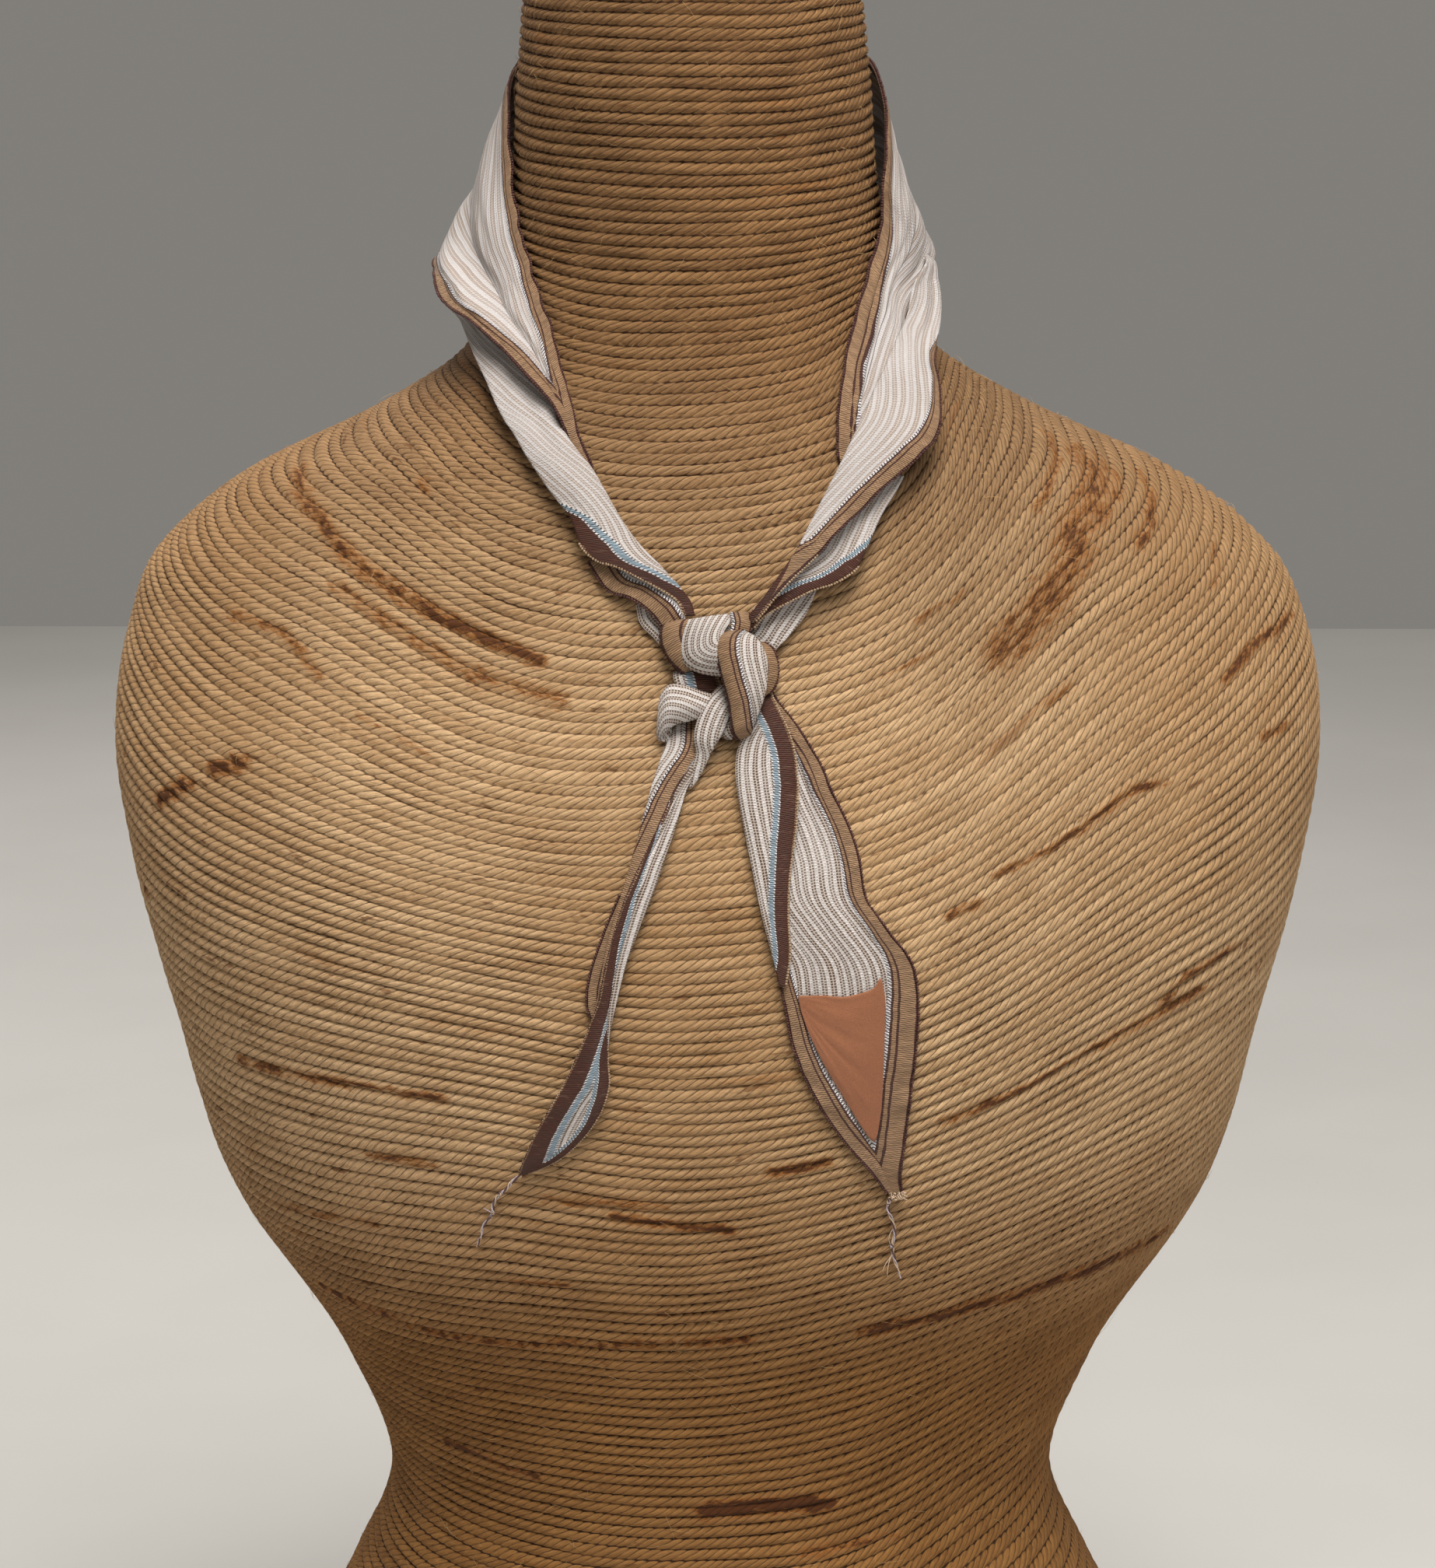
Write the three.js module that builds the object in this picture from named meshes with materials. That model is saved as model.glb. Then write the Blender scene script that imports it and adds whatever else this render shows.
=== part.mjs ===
// A striped neck scarf, knotted in front, worn by a limbless dress form.
//
// Units are millimetres. +Z is up, the front faces -Y and +X is the viewer's right.
// The origin is the middle of the flat underside that the form stands on.
//
// Every place on the form is given by a side (degrees round the upright axis, 0 at the front,
// 90 at the viewer's right, 180 at the back), a height above the floor where it leaves the form,
// and a gap, its distance out square from the form. Cloth is a wall whose middle has that gap.

import * as THREE from 'three';
import { mergeVertices } from 'three/addons/utils/BufferGeometryUtils.js';

// ---- driving dimensions --------------------------------------------------------------------

const CLOTH_WALL = 1.2;
const LABEL_WALL = 0.6;
const NECK_TOP = 704;
const CROWN_RISE = 18;
const FORM_COLUMNS = 56;
const CROWN_LEVELS = 5;
const CREASE_VALLEY = 0.55;
const CREASE_RIDGE = 0.76;
const CHAIN_WIDTH = 1.0;
const CHAIN_SIDES = 8;
const CHAIN_STEP = 2.4;

// ---- tables --------------------------------------------------------------------------------

/** Rows of numbers made into records with named columns. */
function table(columns, rows) {
  return rows.map((row) => Object.fromEntries(columns.map((name, index) => [name, row[index]])));
}

// Level sections of the dress form: half width, depth in front of and behind the centre, the
// centre's offset sideways and forward, and how square the section is (2 is an ellipse).
const FORM = table(
  ['height', 'half', 'front', 'back', 'sideways', 'forward', 'square'],
  [
    [0, 166, 110, 112, 0, 0, 2.2],
    [40, 170, 114, 114, 0, 0, 2.2],
    [100, 153, 108, 108, 0, 0, 2.2],
    [150, 126, 96, 92, 0, 0, 2.15],
    [185, 112, 90, 86, 0, 0, 2.1],
    [230, 126, 98, 86, 0, 0, 2.1],
    [290, 163, 118, 94, 0, 0, 2.2],
    [350, 180, 128, 100, 0, 0, 2.3],
    [400, 192, 126, 104, 0, 0, 2.4],
    [440, 197, 116, 106, 0, 0, 2.4],
    [475, 192, 104, 104, 0, 0, 2.3],
    [500, 180, 95, 98, -1, 3, 2.2],
    [525, 148, 84, 88, -2, 6, 2.1],
    [545, 106, 74, 76, -3, 8, 2.0],
    [562, 78, 66, 66, -4, 10, 2.0],
    [580, 66, 61, 60, -5, 12, 2.0],
    [605, 60, 59, 57, -5, 14, 2.0],
    [650, 56, 60, 56, -5, 17, 2.0],
    [720, 49, 57, 54, -5, 20, 2.0],
  ],
);

// Up to each height, the number of levels that the form's wall is divided into.
const FORM_LEVELS = table(
  ['top', 'levels'],
  [
    [0, 1],
    [200, 8],
    [460, 10],
    [500, 3],
    [612, 14],
    [NECK_TOP, 5],
  ],
);

// Sections of a stretch of cloth. The "near" edge is on the viewer's left or uppermost, the
// "far" edge is the other one, and crown is how far the middle of the section swells outward.
const SECTION = [
  'nearSide', 'nearHeight', 'nearGap', 'farSide', 'farHeight', 'farGap', 'crown',
];

// The same with a lengthwise crease: how deep it lies past the middle of the section.
const CREASED_SECTION = [...SECTION, 'crease'];

// The band of cloth round the neck: near edge uppermost, against the neck, and far edge below,
// standing off it. It starts in front on the left and runs behind the neck to the right.
const NECK_BAND = table(CREASED_SECTION, [
  [-21, 532.5, 1.2, -21.6, 532, 1.2, 0, 0],
  [-22.8, 536.5, 1.2, -24, 535.5, 1.2, 0, 0],
  [-25.6, 542, 1.2, -27.6, 541, 1.5, 0, 0],
  [-28.3, 549, 1.2, -30, 546, 5.8, 0, 0],
  [-31.3, 555, 1.2, -32.8, 550, 7.5, 0, 0.3],
  [-35.8, 564, 1.2, -38.3, 555, 10.5, 0, 1],
  [-41.5, 576, 1.2, -46.1, 562, 14, 0, 2],
  [-46.7, 583.5, 1.2, -55.6, 570.5, 17, 0, 2.5],
  [-53.9, 595, 1.2, -65.2, 574.5, 19, 0, 3],
  [-66.4, 612.5, 1.3, -84, 585, 20, 2, 3],
  [-86, 643, 1.4, -97, 590, 18.5, 2, 1],
  [-108, 656, 1.5, -112, 600, 15, 0, 0],
  [-145, 661, 1.5, -148, 611, 10, 2, 0],
  [-180, 661, 1.5, -180, 614, 8, 1, 0],
  [-213, 658, 1.5, -210, 611, 9, 1, 0],
  [-240, 655, 2, -238, 603, 10, 0.5, 0],
  [-258, 649, 3, -254, 597, 12, 0, 0],
  [-284, 621, 3.8, -268, 590, 14, 0.5, 0],
  [-286.8, 610.5, 3.4, -277, 582, 10, 1, 0],
  [-293.4, 597.5, 2.2, -293.2, 575.5, 7.6, 1, 0],
  [-303.2, 584.5, 1.4, -299.6, 567, 7, 0.5, 0],
  [-309.8, 575, 1.2, -306.5, 559, 6.8, 0, 0],
  [-317.1, 564, 1.2, -314.3, 550.5, 6.6, 0, 0],
  [-324.3, 550.5, 1.2, -321, 542, 5.6, 0, 0],
  [-327.6, 541, 1.2, -325, 536.5, 4.8, 0, 0],
  [-329.3, 534.5, 1.2, -328, 533, 2, 0, 0],
]);

// The rows of the neck band at which its nape stretch starts and ends.
const NAPE_START = 9;
const NAPE_END = 17;

// The left stretch turned over below the band, running down to the knot.
const LEFT_LOWER = table(SECTION, [
  [-69.4, 570, 9.5, -64.5, 569.5, 8.5, 0],
  [-56.3, 559.5, 9, -49.8, 559.5, 6.5, 0.5],
  [-48.8, 553, 8, -43.5, 555, 4.6, 0.5],
  [-43.2, 546.5, 7.2, -36.4, 550, 2.9, 0.5],
  [-40.3, 542.5, 6.6, -31.7, 545.5, 2.8, 1],
  [-37.3, 539, 6.2, -27.1, 540.5, 3.2, 1.5],
  [-33.9, 534, 6, -23.5, 535.5, 3.4, 1.8],
  [-31.2, 530, 5.6, -20.6, 531.5, 3.8, 2],
  [-27, 523.5, 5.2, -17.3, 525, 4, 2],
  [-23.3, 517.5, 5, -13.9, 517.5, 4, 1.5],
  [-20.6, 509.5, 4.8, -10, 510, 4, 1],
  [-17.2, 505, 5, -6.4, 504.5, 4.4, 1],
  [-12.5, 502.5, 6, -4.2, 500.5, 4.8, 0.8],
  [-6.9, 499, 7, -2.5, 497, 5.6, 0.4],
  [-2.9, 494.5, 7.6, -1.3, 494, 6.4, 0],
]);

// The stitched edge that shows under the left stretch where it enters the knot.
const LEFT_UNDER = table(SECTION, [
  [-19.5, 505.5, 1.2, -12.7, 510, 1.3, 0],
  [-15.7, 497.5, 1.8, -9.1, 505, 2.4, 0.3],
  [-11.3, 494.5, 2.6, -5.8, 500, 3.3, 0.5],
  [-8.1, 491, 3.2, -3.3, 495.5, 4, 0.5],
  [-6.1, 487, 3.6, -2.2, 491, 4.4, 0.4],
]);

// The sliver of striped cloth under that edge.
const LEFT_SLIVER = table(SECTION, [
  [-10.6, 493, 0.9, -8, 497, 0.9, 0],
  [-9.8, 487.5, 1, -6.5, 492.5, 1, 0.2],
  [-7.6, 483.5, 1.1, -4.3, 488.5, 1.1, 0.2],
  [-5.8, 480, 1.2, -3.2, 485.5, 1.2, 0],
]);

// The right stretch folded over the band, from the side of the neck down to the knot.
const RIGHT_OUTER = table(SECTION, [
  [74, 588, 14, 82, 586.5, 14.6, 0],
  [67, 580.5, 11.5, 75.5, 576, 14.4, 0.5],
  [61.5, 572, 9.5, 67, 564.5, 14, 1],
  [55.1, 565, 8.7, 56.7, 554.5, 14.5, 1],
  [48.1, 557.5, 8.2, 53.3, 548, 14, 1],
  [42.3, 551, 7, 50.1, 540.5, 13, 1],
  [37.3, 544, 7, 47, 535, 12, 1.5],
  [33.2, 537.5, 7, 42.7, 530.5, 11, 1.5],
  [29.5, 531, 7, 38.4, 527, 10, 1.5],
  [25.8, 524, 7, 33.2, 521.5, 9.5, 1.5],
  [21.5, 514.5, 7.9, 27, 513.5, 10, 1],
  [17.9, 506, 9, 21.8, 506, 10.5, 0.5],
  [14.9, 499.5, 9.6, 17.6, 500, 10.5, 0],
]);

// The cloth turned under that fold.
const RIGHT_MIDDLE = table(SECTION, [
  [34.8, 529.5, 5.4, 40.2, 528, 5, 0],
  [30.3, 522.5, 5.6, 34.4, 518, 5.2, 0.3],
  [26, 515.5, 6, 30.6, 509, 5.4, 0.3],
  [21.6, 509.5, 6.6, 27.9, 502.5, 5.6, 0.3],
  [17.5, 504, 7.4, 24, 498.5, 6.2, 0.3],
  [14.9, 499.5, 7.8, 19.4, 496, 6.8, 0.2],
  [12.3, 496, 8, 14.5, 494, 7.4, 0],
]);

// The last of the right stretch, close to the form, where it enters the knot.
const RIGHT_LOWER = table(SECTION, [
  [16.1, 499, 1.2, 21.2, 497.5, 1.4, 0],
  [13.3, 494, 1.6, 18.7, 490, 1.8, 0.4],
  [10.9, 489, 2.4, 15.4, 483.5, 2.4, 0.4],
  [9.7, 486, 3, 13.3, 480, 3, 0],
]);

// The knot: the broad lobe on its upper left.
const UPPER_LOBE = table(SECTION, [
  [-0.8, 489.5, 6, 5.6, 490.5, 6, 2],
  [-2, 486, 6, 6.2, 488, 8, 3.5],
  [-2.4, 480, 6, 5.3, 484.5, 10, 4],
  [-1.8, 474.5, 6.5, 4.4, 481.5, 11, 3.5],
  [0.9, 472.5, 8, 4.1, 479, 11, 2],
  [3.6, 471.5, 9.5, 4, 475, 10.5, 0.5],
]);

// The loop that crosses the knot in front.
const FRONT_LOOP = table(SECTION, [
  [4.9, 484.5, 12, 7.2, 486, 11.2, 1],
  [4.2, 480, 15, 10.2, 482, 12, 2.5],
  [3.9, 472.5, 15.5, 11.3, 476, 12, 3],
  [4.7, 466.5, 15, 11.1, 470, 12, 3],
  [5.5, 462.5, 14.5, 10.9, 465.5, 11.5, 2.5],
  [5.8, 457.5, 12, 10.1, 461.5, 10.5, 2],
  [6.1, 453.5, 8.8, 8.1, 453.5, 8.4, 0.5],
]);

// The stitched edge that shows at the knot's right.
const RIGHT_LOOP = table(SECTION, [
  [10.4, 481.5, 9.4, 11.5, 481.5, 8, 0],
  [10.6, 476, 10.2, 12.6, 478.5, 7.6, 0.5],
  [10.5, 471.5, 10.2, 12.7, 473.5, 7.4, 0.5],
  [10, 467.5, 9.4, 12.1, 468.5, 7, 0.5],
  [9.6, 465.5, 8.8, 11.1, 466, 7, 0],
]);

// The short stitched turn on top.
const TOP_TURN = table(SECTION, [
  [6.8, 490.5, 6.5, 9, 491, 6.5, 1],
  [7.1, 487.5, 8, 9.3, 488, 7.5, 1],
  [7.3, 485.5, 9.4, 8.8, 485, 8.8, 0.8],
]);

// The stitched turn at the knot's left, leading in from the left stretch.
const LEFT_TURN = table(SECTION, [
  [-6.1, 485.5, 3.6, -3.1, 489, 4.6, 0.6],
  [-5.4, 481.5, 3.8, -2.7, 485.5, 4.8, 0.6],
  [-4.6, 478, 4, -2.7, 481.5, 5, 0.5],
  [-3.7, 475, 4, -2.5, 478, 4.9, 0.4],
  [-2.6, 473, 4, -2, 474.5, 4.6, 0.3],
]);

// The lobe at the lower left, over the top of the left tail.
const LOWER_LOBE = table(SECTION, [
  [-5.6, 465.5, 3.2, -5.8, 454.5, 3, 1],
  [-4.3, 466.5, 4.6, -4.8, 450.5, 3.4, 3],
  [-2, 466.5, 5.8, -3.6, 454, 4.6, 3],
  [0.1, 466, 5.8, -0.8, 457, 5, 2.5],
  [1.6, 465, 5, 0.6, 459.5, 4.6, 1],
]);

// The turn in the hollow between the two left lobes.
const LOWER_TURN = table(SECTION, [
  [-4.5, 471, 2.2, -5.1, 468, 1.8, 0.4],
  [-3.1, 472, 2.8, -3.4, 468, 2.4, 0.8],
  [-1.5, 472, 3, -0.5, 468, 2.8, 0.8],
  [1, 471.5, 3, 1.3, 467, 2.8, 0.5],
  [2.6, 471, 3, 2.4, 467, 2.8, 0.2],
]);

// The narrow strand of cloth that hangs out of the middle.
const CENTRE_STRAND = table(SECTION, [
  [3.3, 466, 7.2, 5, 463, 7.4, 0.4],
  [2, 460.5, 7.4, 5.1, 458.5, 7.6, 1.2],
  [0.8, 455.5, 6.6, 3.7, 454, 6.8, 1.2],
  [0.3, 451, 5.2, 2.3, 449, 5.4, 1],
  [-0.2, 445.5, 4.4, 1, 444, 4.4, 0.6],
  [-1.1, 440.5, 3.8, -0.3, 440, 3.8, 0.3],
]);

// The small curl beside the front loop.
const SMALL_CURL = table(SECTION, [
  [4.4, 463, 4.8, 5.4, 463, 5.2, 0.6],
  [4.2, 458.5, 4.8, 5.6, 458.5, 5.2, 1],
  [4.4, 455.5, 4.6, 5.7, 455.5, 5, 0.6],
]);

// The left tail, narrow where it is rolled and open like a leaf at its tip.
const TAIL_LEFT = table(SECTION, [
  [-5, 451, 1.2, 1.7, 452, 1.8, 0.4],
  [-5.9, 445, 2, 0.1, 444.5, 2, 0.5],
  [-6.8, 438.5, 2.2, -1.4, 439, 2.2, 0.6],
  [-7.8, 429, 2.4, -2.7, 429.5, 2.4, 0.8],
  [-9, 418, 2.6, -4.5, 417.5, 2.6, 1],
  [-10.3, 407, 2.6, -6.3, 406, 2.6, 1],
  [-11.6, 396, 2.6, -8.1, 395.5, 2.6, 1],
  [-12.4, 386, 2.6, -9.5, 386, 2.6, 1],
  [-13, 377, 2.6, -10.5, 376.5, 2.6, 1],
  [-13.9, 370, 2.5, -11.2, 369.5, 2.5, 1],
  [-15.6, 359.5, 2.2, -11.8, 359.5, 2.2, 1.2],
  [-17.4, 350.5, 1.9, -11.7, 351, 1.9, 1.5],
  [-19.7, 341.5, 1.6, -12.6, 343.5, 1.6, 1.5],
  [-21.7, 333.5, 1.4, -14.5, 335.5, 1.4, 1.3],
  [-23.3, 326, 1.3, -18.5, 326.5, 1.3, 0.8],
  [-24.5, 320.5, 1, -23.7, 320, 1, 0],
]);

// The edge that shows behind the left tail half way down.
const TAIL_LEFT_FLAP = table(SECTION, [
  [-10.4, 408.5, 0.9, -9.4, 407.5, 0.9, 0],
  [-12.1, 398.5, 0.9, -10.2, 398, 0.9, 0],
  [-13.4, 390, 0.9, -11.1, 390, 0.9, 0],
  [-14.3, 382, 0.9, -11.8, 382, 0.9, 0],
  [-14.5, 375, 0.9, -12.5, 374.5, 0.9, 0],
  [-13.9, 370.5, 0.9, -13.1, 370, 0.9, 0],
]);

// The right tail, flat and open, with its wavy outer edge.
const TAIL_RIGHT = table(SECTION, [
  [11, 463.5, 2, 12.4, 465.5, 2, 0],
  [10.5, 456.5, 1.5, 15.6, 456.5, 1.5, 0],
  [10.2, 448, 1.2, 18, 447.5, 1.2, 0],
  [10, 437.5, 1.1, 19.7, 437.5, 1.1, 0],
  [9.7, 427.5, 1.1, 21.4, 427.5, 1.1, 0],
  [9.8, 418, 1.1, 22.3, 418, 1.1, 0],
  [10, 407.5, 1.1, 22.7, 407, 1.1, 0],
  [10.5, 398, 1.1, 25.2, 397.5, 1.1, 0],
  [11, 388, 1.1, 27.9, 387, 1.1, 0],
  [11.9, 375.5, 1.1, 28.5, 373.5, 1.1, 0],
  [13.1, 361.5, 1.1, 28.3, 360.5, 1.1, 0],
  [15.5, 348, 1.1, 27.9, 347, 1.1, 0],
  [19.2, 334, 1.1, 27.6, 333.5, 1.1, 0],
  [23.5, 322, 1.1, 27.3, 321, 1.1, 0],
  [26, 314, 1.1, 28, 312.5, 1.1, 0],
]);

// The strip folded over along the right tail's inner edge.
const TAIL_RIGHT_FOLD = table(SECTION, [
  [8.8, 458.5, 4.6, 12.4, 462.5, 4, 0.3],
  [6.6, 452, 3.8, 14, 455, 3.4, 0.6],
  [5.9, 445, 3.2, 14.7, 447, 3, 0.8],
  [6.3, 435.5, 2.9, 14.6, 435.5, 2.9, 0.8],
  [7.2, 424.5, 2.8, 13.8, 424, 2.8, 0.8],
  [8.2, 412.5, 2.7, 13, 415, 2.7, 0.6],
  [9.1, 402, 2.7, 12.5, 403, 2.7, 0.4],
  [10.2, 392, 2.7, 12.6, 391, 2.7, 0.2],
  [11.2, 381.5, 2.7, 12, 381.5, 2.7, 0],
]);

// The blank label near the right tail's tip; near is its top edge, far its lower edges.
const TAIL_LABEL = table(SECTION, [
  [13.6, 378.5, 2.35, 13.9, 375.5, 2.35, 0],
  [15, 378.5, 2.35, 15.1, 368, 2.35, 0],
  [17, 378.5, 2.35, 17.2, 358.5, 2.35, 0],
  [19.4, 378, 2.35, 19.8, 348.5, 2.35, 0],
  [21.5, 379, 2.35, 22, 340, 2.35, 0],
  [23.1, 380.5, 2.35, 23.3, 335, 2.35, 0],
  [24, 383.5, 2.35, 23.9, 334.5, 2.35, 0],
  [24.5, 377.5, 2.35, 24.3, 343, 2.35, 0],
]);

// The loose thread chains at the two tips: points that the middle of the chain passes.
const ROUTE = ['side', 'height', 'gap'];
const CHAIN_LEFT = table(ROUTE, [
  [-24.3, 319.7, 1],
  [-25.7, 317.1, 1],
  [-26.7, 314.1, 1],
  [-27.9, 311.9, 1],
  [-28.7, 308.7, 1],
  [-29.1, 305.1, 1],
  [-30.5, 301.4, 1],
  [-31.2, 297.5, 1],
  [-32.1, 293.5, 1],
]);
const CHAIN_RIGHT = table(ROUTE, [
  [26.5, 313.2, 1],
  [26.2, 309.5, 1],
  [26.7, 306.5, 1],
  [27.3, 303.2, 1],
  [27.6, 300, 1],
  [27.4, 296.8, 1],
  [27.6, 294.1, 1],
  [28.1, 291, 1],
  [28.7, 287.9, 1],
  [29.4, 284.5, 1],
]);

// ---- smooth curves through the tables ---------------------------------------------------------

/** Slopes of a smooth curve through (x, y) pairs, from the three points round each one. */
function slopesOf(x, y) {
  const rise = y.slice(1).map((value, i) => (value - y[i]) / (x[i + 1] - x[i]));
  return y.map((_, i) => {
    if (i === 0) return rise[0];
    if (i === y.length - 1) return rise[i - 1];
    const before = x[i] - x[i - 1];
    const after = x[i + 1] - x[i];
    return (rise[i - 1] * after + rise[i] * before) / (before + after);
  });
}

/** A smooth function of one number that passes through the given (x, y) pairs. */
function smoothCurve(x, y) {
  const slope = slopesOf(x, y);
  return (at) => {
    let k = 0;
    while (k < x.length - 2 && at > x[k + 1]) k += 1;
    const span = x[k + 1] - x[k];
    const t = (at - x[k]) / span;
    const t2 = t * t;
    const t3 = t2 * t;
    return (2 * t3 - 3 * t2 + 1) * y[k] + (t3 - 2 * t2 + t) * span * slope[k]
      + (3 * t2 - 2 * t3) * y[k + 1] + (t3 - t2) * span * slope[k + 1];
  };
}

/** One smooth curve for each column of a table, over the row number or over a named column. */
function curvesOf(rows, over) {
  const x = rows.map((row, i) => (over ? row[over] : i));
  const names = Object.keys(rows[0]);
  const curve = (name) => smoothCurve(x, rows.map((row) => row[name]));
  return Object.fromEntries(names.map((name) => [name, curve(name)]));
}

// ---- the dress form's surface --------------------------------------------------------------------

const form = curvesOf(FORM, 'height');

/** Level distance from the form's axis to its surface. */
function formRadius(sine, cosine, height) {
  const depth = cosine > 0 ? form.front(height) : form.back(height);
  const power = form.square(height);
  const across = Math.abs(sine / form.half(height)) ** power;
  const along = Math.abs(cosine / depth) ** power;
  return (across + along) ** (-1 / power);
}

/** The form's surface at a side and a height, drawn in towards the axis by a share. */
function formSurface(side, height, share = 1) {
  const turn = THREE.MathUtils.degToRad(side);
  const radius = formRadius(Math.sin(turn), Math.cos(turn), height) * share;
  return new THREE.Vector3(
    form.sideways(height) + radius * Math.sin(turn),
    -form.forward(height) - radius * Math.cos(turn),
    height,
  );
}

/** The point at a side and a height, moved out square from the form by a gap. */
function formPoint(side, height, gap) {
  const reach = 0.05;
  const round = formSurface(side + reach, height).sub(formSurface(side - reach, height));
  const upward = formSurface(side, height + reach).sub(formSurface(side, height - reach));
  return formSurface(side, height).addScaledVector(round.cross(upward).normalize(), gap);
}

// ---- closed meshes -----------------------------------------------------------------------------------

/** A geometry from points and faces, each face a loop of point numbers seen from outside. */
function solidOf(points, faces) {
  const geometry = new THREE.BufferGeometry();
  const numbers = points.flatMap((point) => point.toArray());
  const fan = (loop) => loop.slice(2).flatMap((_, i) => [loop[0], loop[i + 1], loop[i + 2]]);
  geometry.setAttribute('position', new THREE.Float32BufferAttribute(numbers, 3));
  geometry.setIndex(faces.flatMap(fan));
  geometry.computeVertexNormals();
  return geometry;
}

/** A closed body through rings of equal length, the first lowest, with a point at each end. */
function stackOfRings(rings, bottom, top) {
  const count = rings[0].length;
  const points = [...rings.flat(), bottom, top];
  const faces = [];
  for (let level = 0; level < rings.length - 1; level += 1) {
    for (let i = 0; i < count; i += 1) {
      const next = (i + 1) % count;
      const low = level * count;
      const high = low + count;
      faces.push([low + i, low + next, high + next, high + i]);
    }
  }
  const last = (rings.length - 1) * count;
  for (let i = 0; i < count; i += 1) {
    const next = (i + 1) % count;
    faces.push([next, i, points.length - 2]);
    faces.push([last + i, last + next, points.length - 1]);
  }
  return solidOf(points, faces);
}

/** The whole dress form: torso and neck, with a rounded top and a flat underside. */
function formBody() {
  const ring = (height, rise, share) => Array.from({ length: FORM_COLUMNS }, (_, i) => {
    const point = formSurface((360 * i) / FORM_COLUMNS, height, share);
    return point.setZ(height + rise);
  });
  const rings = [ring(0, 0, 1)];
  FORM_LEVELS.slice(1).forEach(({ top, levels }, k) => {
    const foot = FORM_LEVELS[k].top;
    for (let i = 1; i <= levels; i += 1) rings.push(ring(foot + ((top - foot) * i) / levels, 0, 1));
  });
  for (let level = 1; level < CROWN_LEVELS; level += 1) {
    const turn = (Math.PI / 2) * (level / CROWN_LEVELS);
    rings.push(ring(NECK_TOP, CROWN_RISE * Math.sin(turn), Math.cos(turn)));
  }
  const middle = (height, z) => new THREE.Vector3(form.sideways(height), -form.forward(height), z);
  return stackOfRings(rings, middle(0, 0), middle(NECK_TOP, NECK_TOP + CROWN_RISE));
}

/** How a lengthwise crease dips across a section: a valley, then a lower ridge beyond it. */
function creaseShape(part) {
  const bump = (middle, reach) => Math.exp(-(((part - middle) / reach) ** 2));
  return bump(CREASE_VALLEY, 0.13) - 0.7 * bump(CREASE_RIDGE, 0.1);
}

/**
 * A wall of cloth through a table of sections.
 * Each section runs straight from its near edge to its far edge, swollen by its crown.
 */
function clothWall(rows, options = {}) {
  const { from = 0, to = rows.length - 1, steps = 2, across = 6, wall = CLOTH_WALL } = options;
  const curve = curvesOf(rows);
  const along = Math.round((to - from) * steps);
  const middle = (i, j) => {
    const at = THREE.MathUtils.clamp(from + ((to - from) * i) / along, 0, rows.length - 1);
    const part = THREE.MathUtils.clamp(j / across, 0, 1);
    const blend = (near, far) => near(at) + (far(at) - near(at)) * part;
    const swell = curve.crown(at) * (1 - (2 * part - 1) ** 2);
    const crease = curve.crease ? curve.crease(at) * creaseShape(part) : 0;
    return formPoint(
      blend(curve.nearSide, curve.farSide),
      blend(curve.nearHeight, curve.farHeight),
      blend(curve.nearGap, curve.farGap) + swell - crease,
    );
  };
  const grid = [];
  for (let i = 0; i <= along; i += 1) {
    grid.push(Array.from({ length: across + 1 }, (_, j) => middle(i, j)));
  }
  const normal = (i, j) => {
    const down = grid[Math.min(i + 1, along)][j].clone().sub(grid[Math.max(i - 1, 0)][j]);
    const over = grid[i][Math.min(j + 1, across)].clone().sub(grid[i][Math.max(j - 1, 0)]);
    return down.cross(over).normalize();
  };
  const moved = (i, j, reach) => grid[i][j].clone().addScaledVector(normal(i, j), reach);
  const sheet = (reach) => grid.flatMap((row, i) => row.map((_, j) => moved(i, j, reach)));
  const points = [...sheet(wall / 2), ...sheet(-wall / 2)];
  const count = (along + 1) * (across + 1);
  const index = (i, j, inner) => i * (across + 1) + j + (inner ? count : 0);
  const faces = [];
  for (let i = 0; i < along; i += 1) {
    for (let j = 0; j < across; j += 1) {
      faces.push([index(i, j), index(i + 1, j), index(i + 1, j + 1), index(i, j + 1)]);
      faces.push([index(i, j, 1), index(i, j + 1, 1), index(i + 1, j + 1, 1), index(i + 1, j, 1)]);
    }
  }
  for (let i = 0; i < along; i += 1) {
    faces.push([index(i + 1, 0), index(i, 0), index(i, 0, 1), index(i + 1, 0, 1)]);
    faces.push([index(i, across), index(i + 1, across), index(i + 1, across, 1), index(i, across, 1)]);
  }
  for (let j = 0; j < across; j += 1) {
    faces.push([index(0, j), index(0, j + 1), index(0, j + 1, 1), index(0, j, 1)]);
    faces.push([index(along, j + 1), index(along, j), index(along, j, 1), index(along, j + 1, 1)]);
  }
  return solidOf(points, faces);
}

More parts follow.
